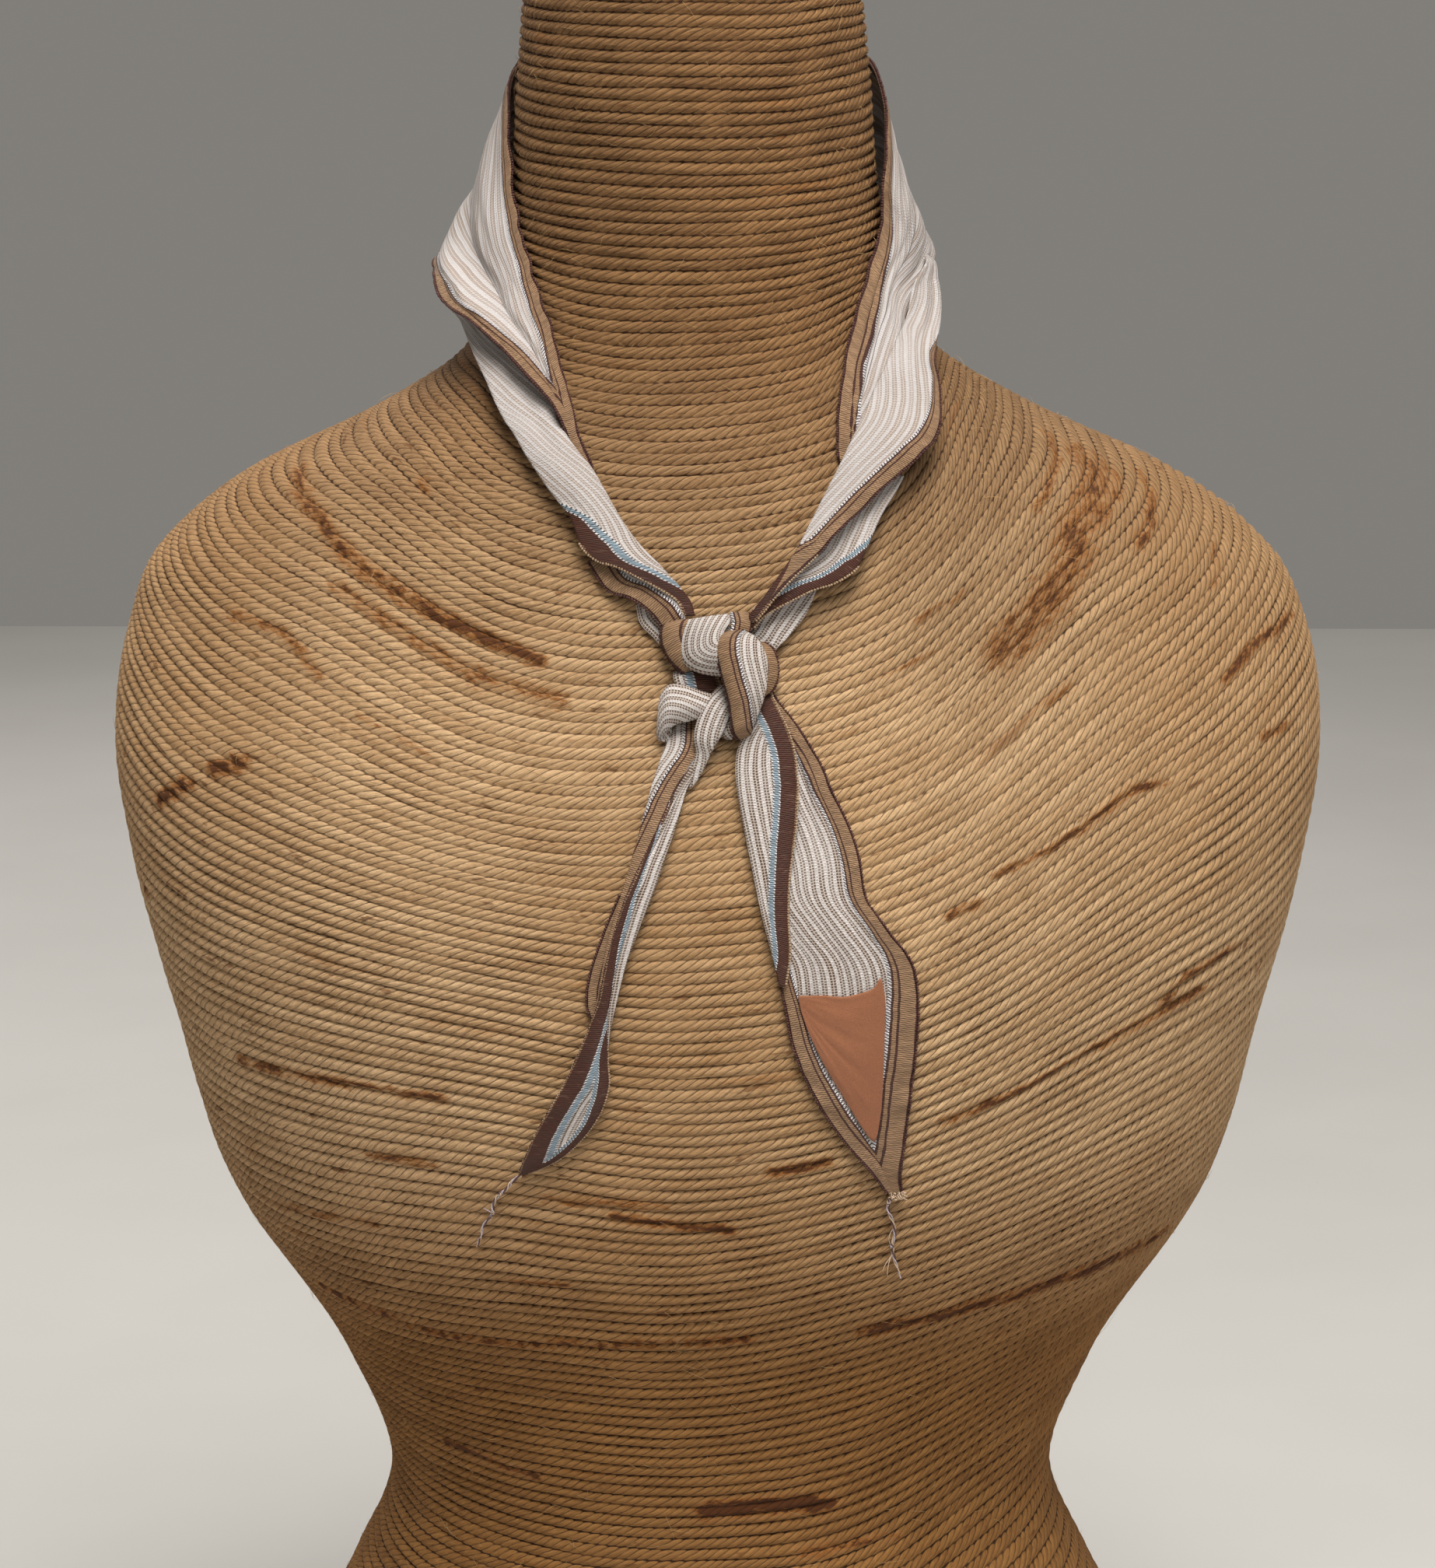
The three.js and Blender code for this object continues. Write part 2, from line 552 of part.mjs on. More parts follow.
/** A thin round chain of thread through its route's points. */
function threadChain(route) {
  const path = new THREE.CatmullRomCurve3(route.map((p) => formPoint(p.side, p.height, p.gap)));
  const section = new THREE.Shape();
  for (let i = 0; i < CHAIN_SIDES; i += 1) {
    const turn = (2 * Math.PI * i) / CHAIN_SIDES;
    const x = (CHAIN_WIDTH / 2) * Math.cos(turn);
    const y = (CHAIN_WIDTH / 2) * Math.sin(turn);
    if (i === 0) section.moveTo(x, y);
    else section.lineTo(x, y);
  }
  const steps = Math.round(path.getLength() / CHAIN_STEP);
  return new THREE.ExtrudeGeometry(section, { steps, extrudePath: path, bevelEnabled: false });
}

/** The hidden turns inside the knot, as one rounded lump. */
function knotCore() {
  const geometry = new THREE.SphereGeometry(1, 20, 12);
  geometry.scale(5.4, 3.9, 8.2);
  geometry.deleteAttribute('normal');
  geometry.deleteAttribute('uv');
  const merged = mergeVertices(geometry, 1e-4);
  const place = formPoint(4.2, 479.5, 4.8);
  merged.translate(place.x, place.y, place.z);
  return merged;
}

// ---- materials ------------------------------------------------------------------------------------

const cloth = () => new THREE.MeshStandardMaterial({ color: 0xc9beb4, roughness: 0.9, metalness: 0 });
const edging = () => new THREE.MeshStandardMaterial({ color: 0x9a8060, roughness: 0.6, metalness: 0 });
const twine = () => new THREE.MeshStandardMaterial({ color: 0xb08450, roughness: 0.95, metalness: 0 });
const suede = () => new THREE.MeshStandardMaterial({ color: 0xb37a52, roughness: 0.85, metalness: 0 });
const thread = () => new THREE.MeshStandardMaterial({ color: 0x6a5a66, roughness: 0.7, metalness: 0 });

// ---- assembly -------------------------------------------------------------------------------------

const scarfOnForm = new THREE.Group();

/** A named piece put into the group. */
function addPiece(parent, name, geometry, material) {
  const piece = new THREE.Mesh(geometry, material);
  piece.name = name;
  parent.add(piece);
}

addPiece(scarfOnForm, 'form_body', formBody(), twine());

// The neck band's three stretches, parted by a narrow seam counted in rows of its table.
const seam = 0.016;
const across = 8;
const leftStretch = { from: 0, to: NAPE_START - seam, across };
const napeStretch = { from: NAPE_START + seam, to: NAPE_END - seam, across, steps: 3 };
const rightStretch = { from: NAPE_END + seam, across };
const neckBand = new THREE.Group();
addPiece(neckBand, 'scarf_left_upper', clothWall(NECK_BAND, leftStretch), cloth());
addPiece(neckBand, 'scarf_nape', clothWall(NECK_BAND, napeStretch), cloth());
addPiece(neckBand, 'scarf_right_inner', clothWall(NECK_BAND, rightStretch), cloth());
scarfOnForm.add(neckBand);

const fronts = new THREE.Group();
addPiece(fronts, 'scarf_left_lower', clothWall(LEFT_LOWER), cloth());
addPiece(fronts, 'scarf_left_under', clothWall(LEFT_UNDER), edging());
addPiece(fronts, 'scarf_left_sliver', clothWall(LEFT_SLIVER, { across: 3 }), cloth());
addPiece(fronts, 'scarf_right_outer', clothWall(RIGHT_OUTER), cloth());
addPiece(fronts, 'scarf_right_middle', clothWall(RIGHT_MIDDLE), cloth());
addPiece(fronts, 'scarf_right_lower', clothWall(RIGHT_LOWER), cloth());
scarfOnForm.add(fronts);

const knot = new THREE.Group();
addPiece(knot, 'knot_core', knotCore(), cloth());
addPiece(knot, 'knot_upper_lobe', clothWall(UPPER_LOBE, { steps: 3 }), cloth());
addPiece(knot, 'knot_front_loop', clothWall(FRONT_LOOP, { steps: 3 }), edging());
addPiece(knot, 'knot_right_loop', clothWall(RIGHT_LOOP, { across: 4 }), edging());
addPiece(knot, 'knot_top_turn', clothWall(TOP_TURN, { across: 4 }), edging());
addPiece(knot, 'knot_left_turn', clothWall(LEFT_TURN, { across: 4 }), edging());
addPiece(knot, 'knot_lower_lobe', clothWall(LOWER_LOBE), cloth());
addPiece(knot, 'knot_lower_turn', clothWall(LOWER_TURN, { across: 4 }), edging());
addPiece(knot, 'knot_centre_strand', clothWall(CENTRE_STRAND, { across: 4 }), cloth());
addPiece(knot, 'knot_small_curl', clothWall(SMALL_CURL, { across: 4 }), cloth());
scarfOnForm.add(knot);

const tails = new THREE.Group();
addPiece(tails, 'tail_left', clothWall(TAIL_LEFT), edging());
addPiece(tails, 'tail_left_flap', clothWall(TAIL_LEFT_FLAP, { across: 3 }), edging());
addPiece(tails, 'tail_right', clothWall(TAIL_RIGHT), cloth());
addPiece(tails, 'tail_right_fold', clothWall(TAIL_RIGHT_FOLD), edging());
addPiece(tails, 'tail_label', clothWall(TAIL_LABEL, { wall: LABEL_WALL }), suede());
addPiece(tails, 'chain_left', threadChain(CHAIN_LEFT), thread());
addPiece(tails, 'chain_right', threadChain(CHAIN_RIGHT), thread());
scarfOnForm.add(tails);

export default scarfOnForm;
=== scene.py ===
"""Looks of a narrow striped neck scarf, knotted on a limbless dress form wound with jute twine.

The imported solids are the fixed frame. Each stretch of cloth is a thin slab that lies where its
solid lies, and the dress form is its solid's surface wound with rows of twine. Sizes are in
millimetres until a mesh is written, and metres in Blender.
"""

import logging
from dataclasses import dataclass, field
from enum import Enum
from functools import partialmethod
from typing import Callable, Sequence

import bpy
import numpy as np
from bpy.types import Material, NodeSocket, NodeTree, Object
from mathutils import Matrix


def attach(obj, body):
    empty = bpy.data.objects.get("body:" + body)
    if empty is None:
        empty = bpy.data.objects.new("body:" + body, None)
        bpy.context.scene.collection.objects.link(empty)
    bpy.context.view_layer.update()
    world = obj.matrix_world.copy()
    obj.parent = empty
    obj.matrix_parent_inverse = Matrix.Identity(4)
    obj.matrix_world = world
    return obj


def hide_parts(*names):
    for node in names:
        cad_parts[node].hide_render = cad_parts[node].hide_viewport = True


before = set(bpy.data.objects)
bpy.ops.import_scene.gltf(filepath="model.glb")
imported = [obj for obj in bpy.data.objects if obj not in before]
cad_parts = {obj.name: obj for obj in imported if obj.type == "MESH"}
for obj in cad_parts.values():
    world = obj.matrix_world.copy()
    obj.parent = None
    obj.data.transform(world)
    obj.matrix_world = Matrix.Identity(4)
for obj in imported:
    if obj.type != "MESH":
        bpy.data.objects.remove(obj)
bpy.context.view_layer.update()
LOG = logging.getLogger("neck_scarf")

Array = np.ndarray
Curve = Callable[[Array], Array]
Colour = tuple[float, float, float]
Table = dict[str, Array]
MM = 0.001


# ---- curves and noise ----


def table(columns: str, rows: Sequence[Sequence[float]]) -> Table:
    """Rows of numbers as one array for each of the named columns."""
    return dict(zip(columns.split(), np.array(rows, float).T))


def unit(vectors: Array) -> Array:
    """The same vectors at length one."""
    return vectors / np.maximum(np.linalg.norm(vectors, axis=-1, keepdims=True), 1e-12)


def grid_normals(grid: Array) -> Array:
    """Unit normals of a grid of points: its row direction crossed with its column direction."""
    return unit(np.cross(np.gradient(grid, axis=0), np.gradient(grid, axis=1)))


def run_length(line: Array, axis: int = 0, weight: Array | float = 1.0) -> Array:
    """Length along lines of points: the running sum of their steps, from 0 at the first point.

    Args:
        line: points, (..., 3).
        axis: the axis that runs along the lines.
        weight: what each step counts for.

    Returns:
        A length for each point.
    """
    steps = np.linalg.norm(np.diff(line, axis=axis), axis=-1) * weight
    return np.concatenate([np.zeros_like(steps.take([0], axis)), np.cumsum(steps, axis)], axis)


def smooth_curve(x: Array, y: Array) -> Curve:
    """A cubic Hermite curve through (x, y), its slopes taken from three neighbouring points.

    Args:
        x: rising positions, length n.
        y: values, length n or n by m.

    Returns:
        A function of an array of positions, which gives values of shape (positions, m).
    """
    x = np.asarray(x, float)
    values = np.asarray(y, float).reshape(len(x), -1)
    step = np.diff(x)[:, None]
    rise = np.diff(values, axis=0) / step
    inner = (rise[:-1] * step[1:] + rise[1:] * step[:-1]) / (step[:-1] + step[1:])
    slope = np.vstack([rise[:1], inner, rise[-1:]])

    def at(position: Array) -> Array:
        """The curve's values at each position."""
        place = np.asarray(position, float)
        k = np.clip(np.searchsorted(x, place, side="right") - 1, 0, len(x) - 2)
        span = (x[k + 1] - x[k])[..., None]
        t = (place - x[k])[..., None] / span
        t2, t3 = t * t, t * t * t
        made = (2 * t3 - 3 * t2 + 1) * values[k] + (t3 - 2 * t2 + t) * span * slope[k]
        made = made + (3 * t2 - 2 * t3) * values[k + 1] + (t3 - t2) * span * slope[k + 1]
        return made if np.ndim(y) > 1 else made[..., 0]

    return at


def smooth_noise(shape: tuple[int, int], cells: tuple[float, float], seed: int) -> Array:
    """Soft noise on a grid: random values on a coarse lattice, blended with a cubic curve.

    Args:
        shape: rows and columns of the grid.
        cells: lattice cells over the rows and over the columns.
        seed: the seed of the random values.

    Returns:
        Values from about -1 to 1 in the grid's shape.
    """
    counts = [max(int(np.ceil(c)), 1) + 1 for c in cells]
    lattice = np.random.default_rng(seed).uniform(-1, 1, counts)
    down = smooth_curve(np.arange(counts[0]), lattice)(np.linspace(0, cells[0], shape[0]))
    return smooth_curve(np.arange(counts[1]), down.T)(np.linspace(0, cells[1], shape[1])).T


# ---- meshes ----


def grid_quads(rows: int, columns: int, closed: bool = False) -> Array:
    """Point numbers of a grid's quads, each (here, next row, next row and column, next column).

    Args:
        rows: rows of points.
        columns: columns of points.
        closed: whether the last column joins the first.

    Returns:
        An array (quads, 4).
    """
    i, j = np.mgrid[:rows - 1, :columns if closed else columns - 1]
    here, after = i * columns + j, i * columns + (j + 1) % columns
    return np.stack([here, here + columns, after + columns, after], -1).reshape(-1, 4)


def tubes(lines: Array, radius: Array, out: Array, sides: int) -> tuple[Array, list[Array]]:
    """Closed tubes round lines: line + radius (cos a across + sin a aside), a full turn.

    Args:
        lines: the tubes' centre lines, (tubes, stations, 3).
        radius: radii, (tubes, stations).
        out: directions not along the lines, (tubes, stations or 1, 3).
        sides: points round each tube.

    Returns:
        The points, and the faces as a list of walls and ends.
    """
    count, stations = lines.shape[:2]
    ahead = unit(np.gradient(lines, axis=1))
    across = unit(np.cross(ahead, out))
    aside = np.cross(ahead, across)
    turn = (np.arange(sides) * 2 * np.pi / sides)[:, None]
    ring = np.cos(turn) * across[:, :, None] + np.sin(turn) * aside[:, :, None]
    points = lines[:, :, None] + radius[:, :, None, None] * ring
    first = np.arange(count)[:, None, None] * stations * sides
    walls = grid_quads(stations, sides, closed=True)[:, ::-1][None] + first
    ends = np.stack([np.arange(sides)[::-1], (stations - 1) * sides + np.arange(sides)])[None]
    return points.reshape(-1, 3), [walls.reshape(-1, 4), (ends + first).reshape(-1, sides)]


def bowed(start: Array, reach: Array, bow: Array, stations: int) -> Array:
    """Lines of bowed hairs, start + t reach + 4 t (1 - t) bow, as (hairs, stations, 3)."""
    t = np.linspace(0, 1, stations)[None, :, None]
    return start[:, None] + t * reach[:, None] + 4 * t * (1 - t) * bow[:, None]


def make_mesh(name: str, points: Array, faces: Sequence[Array], *,
              maps: dict[str, Sequence[Array]] | None = None,
              masks: Table | None = None, parts: Sequence[int] = ()) -> Object:
    """A smooth mesh object at the origin, linked to the scene and riding on the root body.

    Args:
        name: the object's name.
        points: points in millimetres, (n, 3).
        faces: groups of faces, each an array (faces, corners) of point numbers.
        maps: UV maps by name, with one array (faces, corners, 2) for each group of faces.
        masks: point attributes by name, with one number for each point.
        parts: the material number of each group of faces.

    Returns:
        The new object.
    """
    mesh = bpy.data.meshes.new(name)
    mesh.vertices.add(len(points))
    mesh.vertices.foreach_set("co", (points * MM).astype(np.float32).ravel())
    corners = np.concatenate([f.ravel() for f in faces]).astype(np.int32)
    sizes = np.repeat([f.shape[1] for f in faces], [len(f) for f in faces]).astype(np.int32)
    mesh.loops.add(len(corners))
    mesh.loops.foreach_set("vertex_index", corners)
    mesh.polygons.add(len(sizes))
    mesh.polygons.foreach_set("loop_start", (np.cumsum(sizes) - sizes).astype(np.int32))
    mesh.polygons.foreach_set("loop_total", sizes)
    mesh.polygons.foreach_set("use_smooth", np.ones(len(sizes), bool))
    if len(parts):
        slots = np.repeat(parts, [len(f) for f in faces]).astype(np.int32)
        mesh.polygons.foreach_set("material_index", slots)
    for label, groups in (maps or {}).items():
        flat = np.concatenate([np.asarray(g, np.float32).reshape(-1) for g in groups])
        mesh.uv_layers.new(name=label).data.foreach_set("uv", flat)
    for label, mask in (masks or {}).items():
        attribute = mesh.attributes.new(label, "FLOAT", "POINT")
        attribute.data.foreach_set("value", np.asarray(mask, np.float32))
    mesh.update(calc_edges=True)
    mesh.validate()
    made = bpy.data.objects.new(name, mesh)
    bpy.context.scene.collection.objects.link(made)
    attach(made, "root")
    LOG.info("%s: %d points, %d faces", name, len(points), len(sizes))
    return made


def dress(piece: Object, slot: str, *materials: Material) -> None:
    """Gives a piece its materials in order."""
    for material in materials:
        piece.data.materials.append(material)


# ---- the sections of every stretch, and the chains' routes ----

SECTION = "near_side near_height near_gap far_side far_height far_gap crown"
ROUTE = "side height gap"
NECK_BAND = table(SECTION + " crease", (
    (-21, 532.5, 1.2, -21.6, 532, 1.2, 0, 0), (-22.8, 536.5, 1.2, -24, 535.5, 1.2, 0, 0),
    (-25.6, 542, 1.2, -27.6, 541, 1.5, 0, 0), (-28.3, 549, 1.2, -30, 546, 5.8, 0, 0),
    (-31.3, 555, 1.2, -32.8, 550, 7.5, 0, 0.3), (-35.8, 564, 1.2, -38.3, 555, 10.5, 0, 1),
    (-41.5, 576, 1.2, -46.1, 562, 14, 0, 2), (-46.7, 583.5, 1.2, -55.6, 570.5, 17, 0, 2.5),
    (-53.9, 595, 1.2, -65.2, 574.5, 19, 0, 3), (-66.4, 612.5, 1.3, -84, 585, 20, 2, 3),
    (-86, 643, 1.4, -97, 590, 18.5, 2, 1), (-108, 656, 1.5, -112, 600, 15, 0, 0),
    (-145, 661, 1.5, -148, 611, 10, 2, 0), (-180, 661, 1.5, -180, 614, 8, 1, 0),
    (-213, 658, 1.5, -210, 611, 9, 1, 0), (-240, 655, 2, -238, 603, 10, 0.5, 0),
    (-258, 649, 3, -254, 597, 12, 0, 0), (-284, 621, 3.8, -268, 590, 14, 0.5, 0),
    (-286.8, 610.5, 3.4, -277, 582, 10, 1, 0), (-293.4, 597.5, 2.2, -293.2, 575.5, 7.6, 1, 0),
    (-303.2, 584.5, 1.4, -299.6, 567, 7, 0.5, 0), (-309.8, 575, 1.2, -306.5, 559, 6.8, 0, 0),
    (-317.1, 564, 1.2, -314.3, 550.5, 6.6, 0, 0), (-324.3, 550.5, 1.2, -321, 542, 5.6, 0, 0),
    (-327.6, 541, 1.2, -325, 536.5, 4.8, 0, 0), (-329.3, 534.5, 1.2, -328, 533, 2, 0, 0),
))
LEFT_LOWER = table(SECTION, (
    (-77, 573.5, 12.5, -66, 578, 12, 0), (-69.6, 570.1, 9.5, -57.6, 574.1, 8, 0),
    (-56.3, 559.5, 9, -45.3, 564.8, 6, 0.5), (-48.8, 552.9, 8, -38.7, 557.8, 3.6, 0.5),
    (-43.2, 546.4, 7.2, -33.1, 551.6, 2.6, 0.5), (-40.3, 542.6, 6.6, -30.6, 545.9, 2.6, 1),
    (-37.3, 539, 6.2, -27.1, 540.5, 3.2, 1.5), (-33.9, 534, 6, -23.5, 535.5, 3.4, 1.8),
    (-31.2, 530, 5.6, -20.6, 531.5, 3.8, 2), (-27, 523.5, 5.2, -17.3, 525, 4, 2),
    (-23.3, 517.5, 5, -13.9, 517.5, 4, 1.5), (-20.6, 509.5, 4.8, -10, 510, 4, 1),
    (-17.2, 505, 5, -6.4, 504.5, 4.4, 1), (-12.5, 502.5, 6, -4.2, 500.5, 4.8, 0.8),
    (-3.9, 494.9, 5.2, -0.9, 494.1, 4.6, 0), (-2, 489.6, 4.2, -0.1, 489.6, 4, 0),
))
LEFT_UNDER = table(SECTION, (
    (-19.5, 505.5, 1.2, -12.7, 510, 1.3, 0), (-15.7, 497.5, 1.8, -9.1, 505, 2.4, 0.3),
    (-11.3, 494.5, 2.6, -5.8, 500, 3.3, 0.5), (-8.1, 491, 3.2, -3.3, 495.5, 4, 0.5),
    (-6.1, 487, 3.6, -2.2, 491, 4.4, 0.4), (-5, 483.6, 2.6, -1.5, 487.3, 3.4, 0.3),
))
LEFT_SLIVER = table(SECTION, (
    (-10.6, 493, 0.9, -8, 497, 0.9, 0), (-9.8, 487.5, 1, -6.5, 492.5, 1, 0.2),
    (-7.6, 483.5, 1.1, -4.3, 488.5, 1.1, 0.2), (-5.8, 480, 1.2, -3.2, 485.5, 1.2, 0),
))
RIGHT_OUTER = table(SECTION, (
    (83, 591, 11.6, 85, 590, 12.4, 0), (74, 588, 14, 82, 586.5, 14.6, 0),
    (67, 580.5, 11.5, 75.5, 576, 14.4, 0.5), (61.5, 572, 9.5, 67, 564.5, 14, 1),
    (55.1, 565, 8.7, 56.7, 554.5, 14.5, 1), (48.1, 557.5, 8.2, 53.3, 548, 14, 1),
    (42.3, 551, 7, 50.1, 540.5, 13, 1), (37.3, 544, 7, 47, 535, 12, 1.5),
    (33.2, 537.5, 7, 42.7, 530.5, 11, 1.5), (29.5, 531, 7, 38.4, 527, 10, 1.5),
    (25.8, 524, 7, 33.2, 521.5, 9.5, 1.5), (21.5, 514.5, 7.9, 27, 513.5, 10, 1),
    (17.9, 506, 9, 21.8, 506, 10.5, 0.5), (12.4, 495.4, 9, 14.7, 495.8, 9.4, 0),
    (10.3, 491.6, 7.6, 12.1, 491.1, 8, 0), (8.7, 487.6, 6, 10, 487.6, 6, 0),
))
RIGHT_MIDDLE = table(SECTION, (
    (34.8, 529.5, 5.4, 40.2, 528, 5, 0), (30.3, 522.5, 5.6, 34.4, 518, 5.2, 0.3),
    (26, 515.5, 6, 30.6, 509, 5.4, 0.3), (21.6, 509.5, 6.6, 27.9, 502.5, 5.6, 0.3),
    (17.5, 504, 7.4, 24, 498.5, 6.2, 0.3), (14.9, 499.5, 7.8, 19.4, 496, 6.8, 0.2),
    (10.2, 491.6, 7, 12.1, 489.8, 6.4, 0), (8.5, 487.6, 5.4, 9.7, 485.8, 5, 0),
))
RIGHT_LOWER = table(SECTION, (
    (16.1, 499, 1.2, 21.2, 497.5, 1.4, 0), (13.3, 494, 1.6, 18.7, 490, 1.8, 0.4),
    (10.9, 489, 2.4, 15.4, 483.5, 2.4, 0.4), (9.7, 486, 3, 13.3, 480, 3, 0),
    (7.7, 483.2, 2.6, 11.5, 476.2, 2.6, 0),
))
UPPER_LOBE = table(SECTION, (
    (-1.6, 487.4, 1.5, 5.3, 489.7, 2, 3), (-2, 487.8, 3.5, 5.9, 489.7, 5, 3.5),
    (-2.6, 485, 4, 5.9, 487.5, 8.5, 4), (-3, 480.1, 4, 4.9, 484.6, 10.5, 4.2),
    (-2.4, 475.5, 4.5, 4.2, 481.7, 11.5, 4), (0, 472.5, 6, 3.8, 478.7, 12, 3),
    (3.3, 471.2, 7, 4, 475.8, 11.5, 1.5), (5.6, 471.6, 6, 5.7, 475.5, 9, 0.5),
))
FRONT_LOOP = table(SECTION, (
    (5.5, 484.6, 7, 7.6, 485.5, 6, 1), (4, 482.4, 11, 10.1, 482.6, 8.5, 3.5),
    (3.8, 476.5, 12, 11.4, 477.5, 8.5, 4.5), (4.4, 470.3, 12, 11.4, 471.2, 8.5, 4.5),
    (5.2, 464.6, 11.5, 10.8, 465.6, 8.5, 4), (5.6, 459.4, 10, 9.9, 461.2, 7.5, 3),
    (5.8, 454.8, 8, 8.7, 456.5, 6, 2), (6.3, 453.3, 3.5, 8.2, 454.3, 3, 0.5),
))
RIGHT_LOOP = table(SECTION, (
    (9.2, 481.6, 6, 11.1, 481.8, 6, 0), (9.6, 477.6, 7.5, 12.6, 479, 5.5, 1.2),
    (9.6, 472.7, 8, 13, 473.6, 5, 1.5), (9, 467.7, 7, 12.3, 468.5, 4.6, 1),
    (8.6, 464.7, 5.5, 10.8, 465.8, 4.5, 0.3),
))
TOP_TURN = table(SECTION, (
    (5.5, 487.8, 3, 9.1, 489.6, 3, 0.4), (5.9, 490, 5, 9.2, 490, 4, 1.4),
    (6.1, 487.5, 8, 9.3, 487.6, 5.5, 1.6), (6, 484.2, 9, 8.8, 484.1, 6, 1),
    (6.4, 481.9, 8, 9, 482.1, 5, 0.4),
))
LEFT_TURN = table(SECTION, (
    (-4.5, 487.8, 3, -1.2, 488.5, 3.6, 0.3), (-5.8, 485.9, 3.6, -0.9, 487.7, 5, 1.8),
    (-5.9, 482.2, 3.6, -1.5, 484.9, 5, 2.2), (-5, 478, 3.6, -1.5, 480.7, 5, 2),
    (-3.7, 474.7, 3.4, -1.1, 477.1, 5, 1.6), (-2.2, 472.4, 3, 0, 474.6, 4.6, 0.8),
))
LOWER_LOBE = table(SECTION, (
    (-4.1, 459.4, 0.3, -3.7, 452.5, 0.3, 0.1), (-6, 464.1, 1.6, -6, 453.3, 1.6, 2.4),
    (-4.7, 468.7, 3.4, -5.1, 454.6, 3.4, 3.8), (-2.1, 468.5, 4.4, -3.5, 457.1, 4.6, 3.8),
    (0.5, 466.9, 4.8, -0.7, 458.4, 5, 3), (2.7, 465.8, 4.6, 1.5, 459.8, 4.6, 1.6),
    (4.2, 465.1, 3, 3.4, 461, 3, 0.4),
))
LOWER_TURN = table(SECTION, (
    (-4, 473.1, 1.2, 2.2, 474.4, 2, 0.5), (-4, 471.2, 2, 3, 472, 3, 1),
    (-3.2, 467.9, 2.4, 3.4, 469.2, 3.2, 1), (-1.4, 465.2, 2, 3.7, 466.1, 2.6, 0.4),
))
CENTRE_STRAND = table(SECTION, (
    (3.7, 469.1, 4, 5.9, 466.8, 4, 0.4), (1.5, 463.9, 5, 5.6, 462, 5.4, 2.4),
    (0.1, 458.4, 5, 4.4, 456.1, 5.4, 2.6), (-0.4, 453.6, 4.4, 2.9, 451.3, 4.8, 2.2),
    (-0.1, 449.4, 3, 1.9, 448.2, 3.4, 1.2), (-0.8, 444.7, 1.7, 0.8, 443.8, 1.9, 0.5),
    (-1.3, 439.9, 0.4, -0.8, 439.4, 0.4, 0.1),
))
SMALL_CURL = table(SECTION, (
    (3.9, 464.6, 3.4, 5.9, 465, 3.6, 0.6), (3.4, 459.6, 3.4, 5.8, 459.5, 3.8, 1.4),
    (3.5, 455.7, 2.8, 5.9, 455.6, 3.2, 1.2), (4.3, 453.7, 1.4, 5.5, 453.6, 1.6, 0.2),
))
TAIL_LEFT = table(SECTION, (
    (-3.5, 457.7, 0.9, 1.4, 460, 0.9, 0), (-5, 451, 1.2, 1.7, 452, 1.8, 0.4),
    (-5.9, 445, 2, 0.1, 444.5, 2, 0.5), (-6.8, 438.5, 2.2, -1.4, 439, 2.2, 0.6),
    (-7.8, 429, 2.4, -2.7, 429.5, 2.4, 0.8), (-9, 418, 2.6, -4.5, 417.5, 2.6, 1),
    (-10.3, 407, 2.6, -6.3, 406, 2.6, 1), (-11.6, 396, 2.6, -8.1, 395.5, 2.6, 1),
    (-12.4, 386, 2.6, -9.5, 386, 2.6, 1), (-13, 377, 2.6, -10.5, 376.5, 2.6, 1),
    (-13.9, 370, 2.5, -11.2, 369.5, 2.5, 1), (-15.6, 359.5, 2.2, -11.8, 359.5, 2.2, 1.2),
    (-17.4, 350.5, 1.9, -11.7, 351, 1.9, 1.5), (-19.7, 341.5, 1.6, -12.6, 343.5, 1.6, 1.5),
    (-21.7, 333.5, 1.4, -14.5, 335.5, 1.4, 1.3), (-23.3, 326, 1.3, -18.5, 326.5, 1.3, 0.8),
    (-24.5, 320.5, 1, -23.7, 320, 1, 0),
))
TAIL_LEFT_FLAP = table(SECTION, (
    (-10.4, 408.5, 0.9, -9.4, 407.5, 0.9, 0), (-12.1, 398.5, 0.9, -10.2, 398, 0.9, 0),
    (-13.4, 390, 0.9, -11.1, 390, 0.9, 0), (-14.3, 382, 0.9, -11.8, 382, 0.9, 0),
    (-14.5, 375, 0.9, -12.5, 374.5, 0.9, 0), (-13.9, 370.5, 0.9, -13.1, 370, 0.9, 0),
))
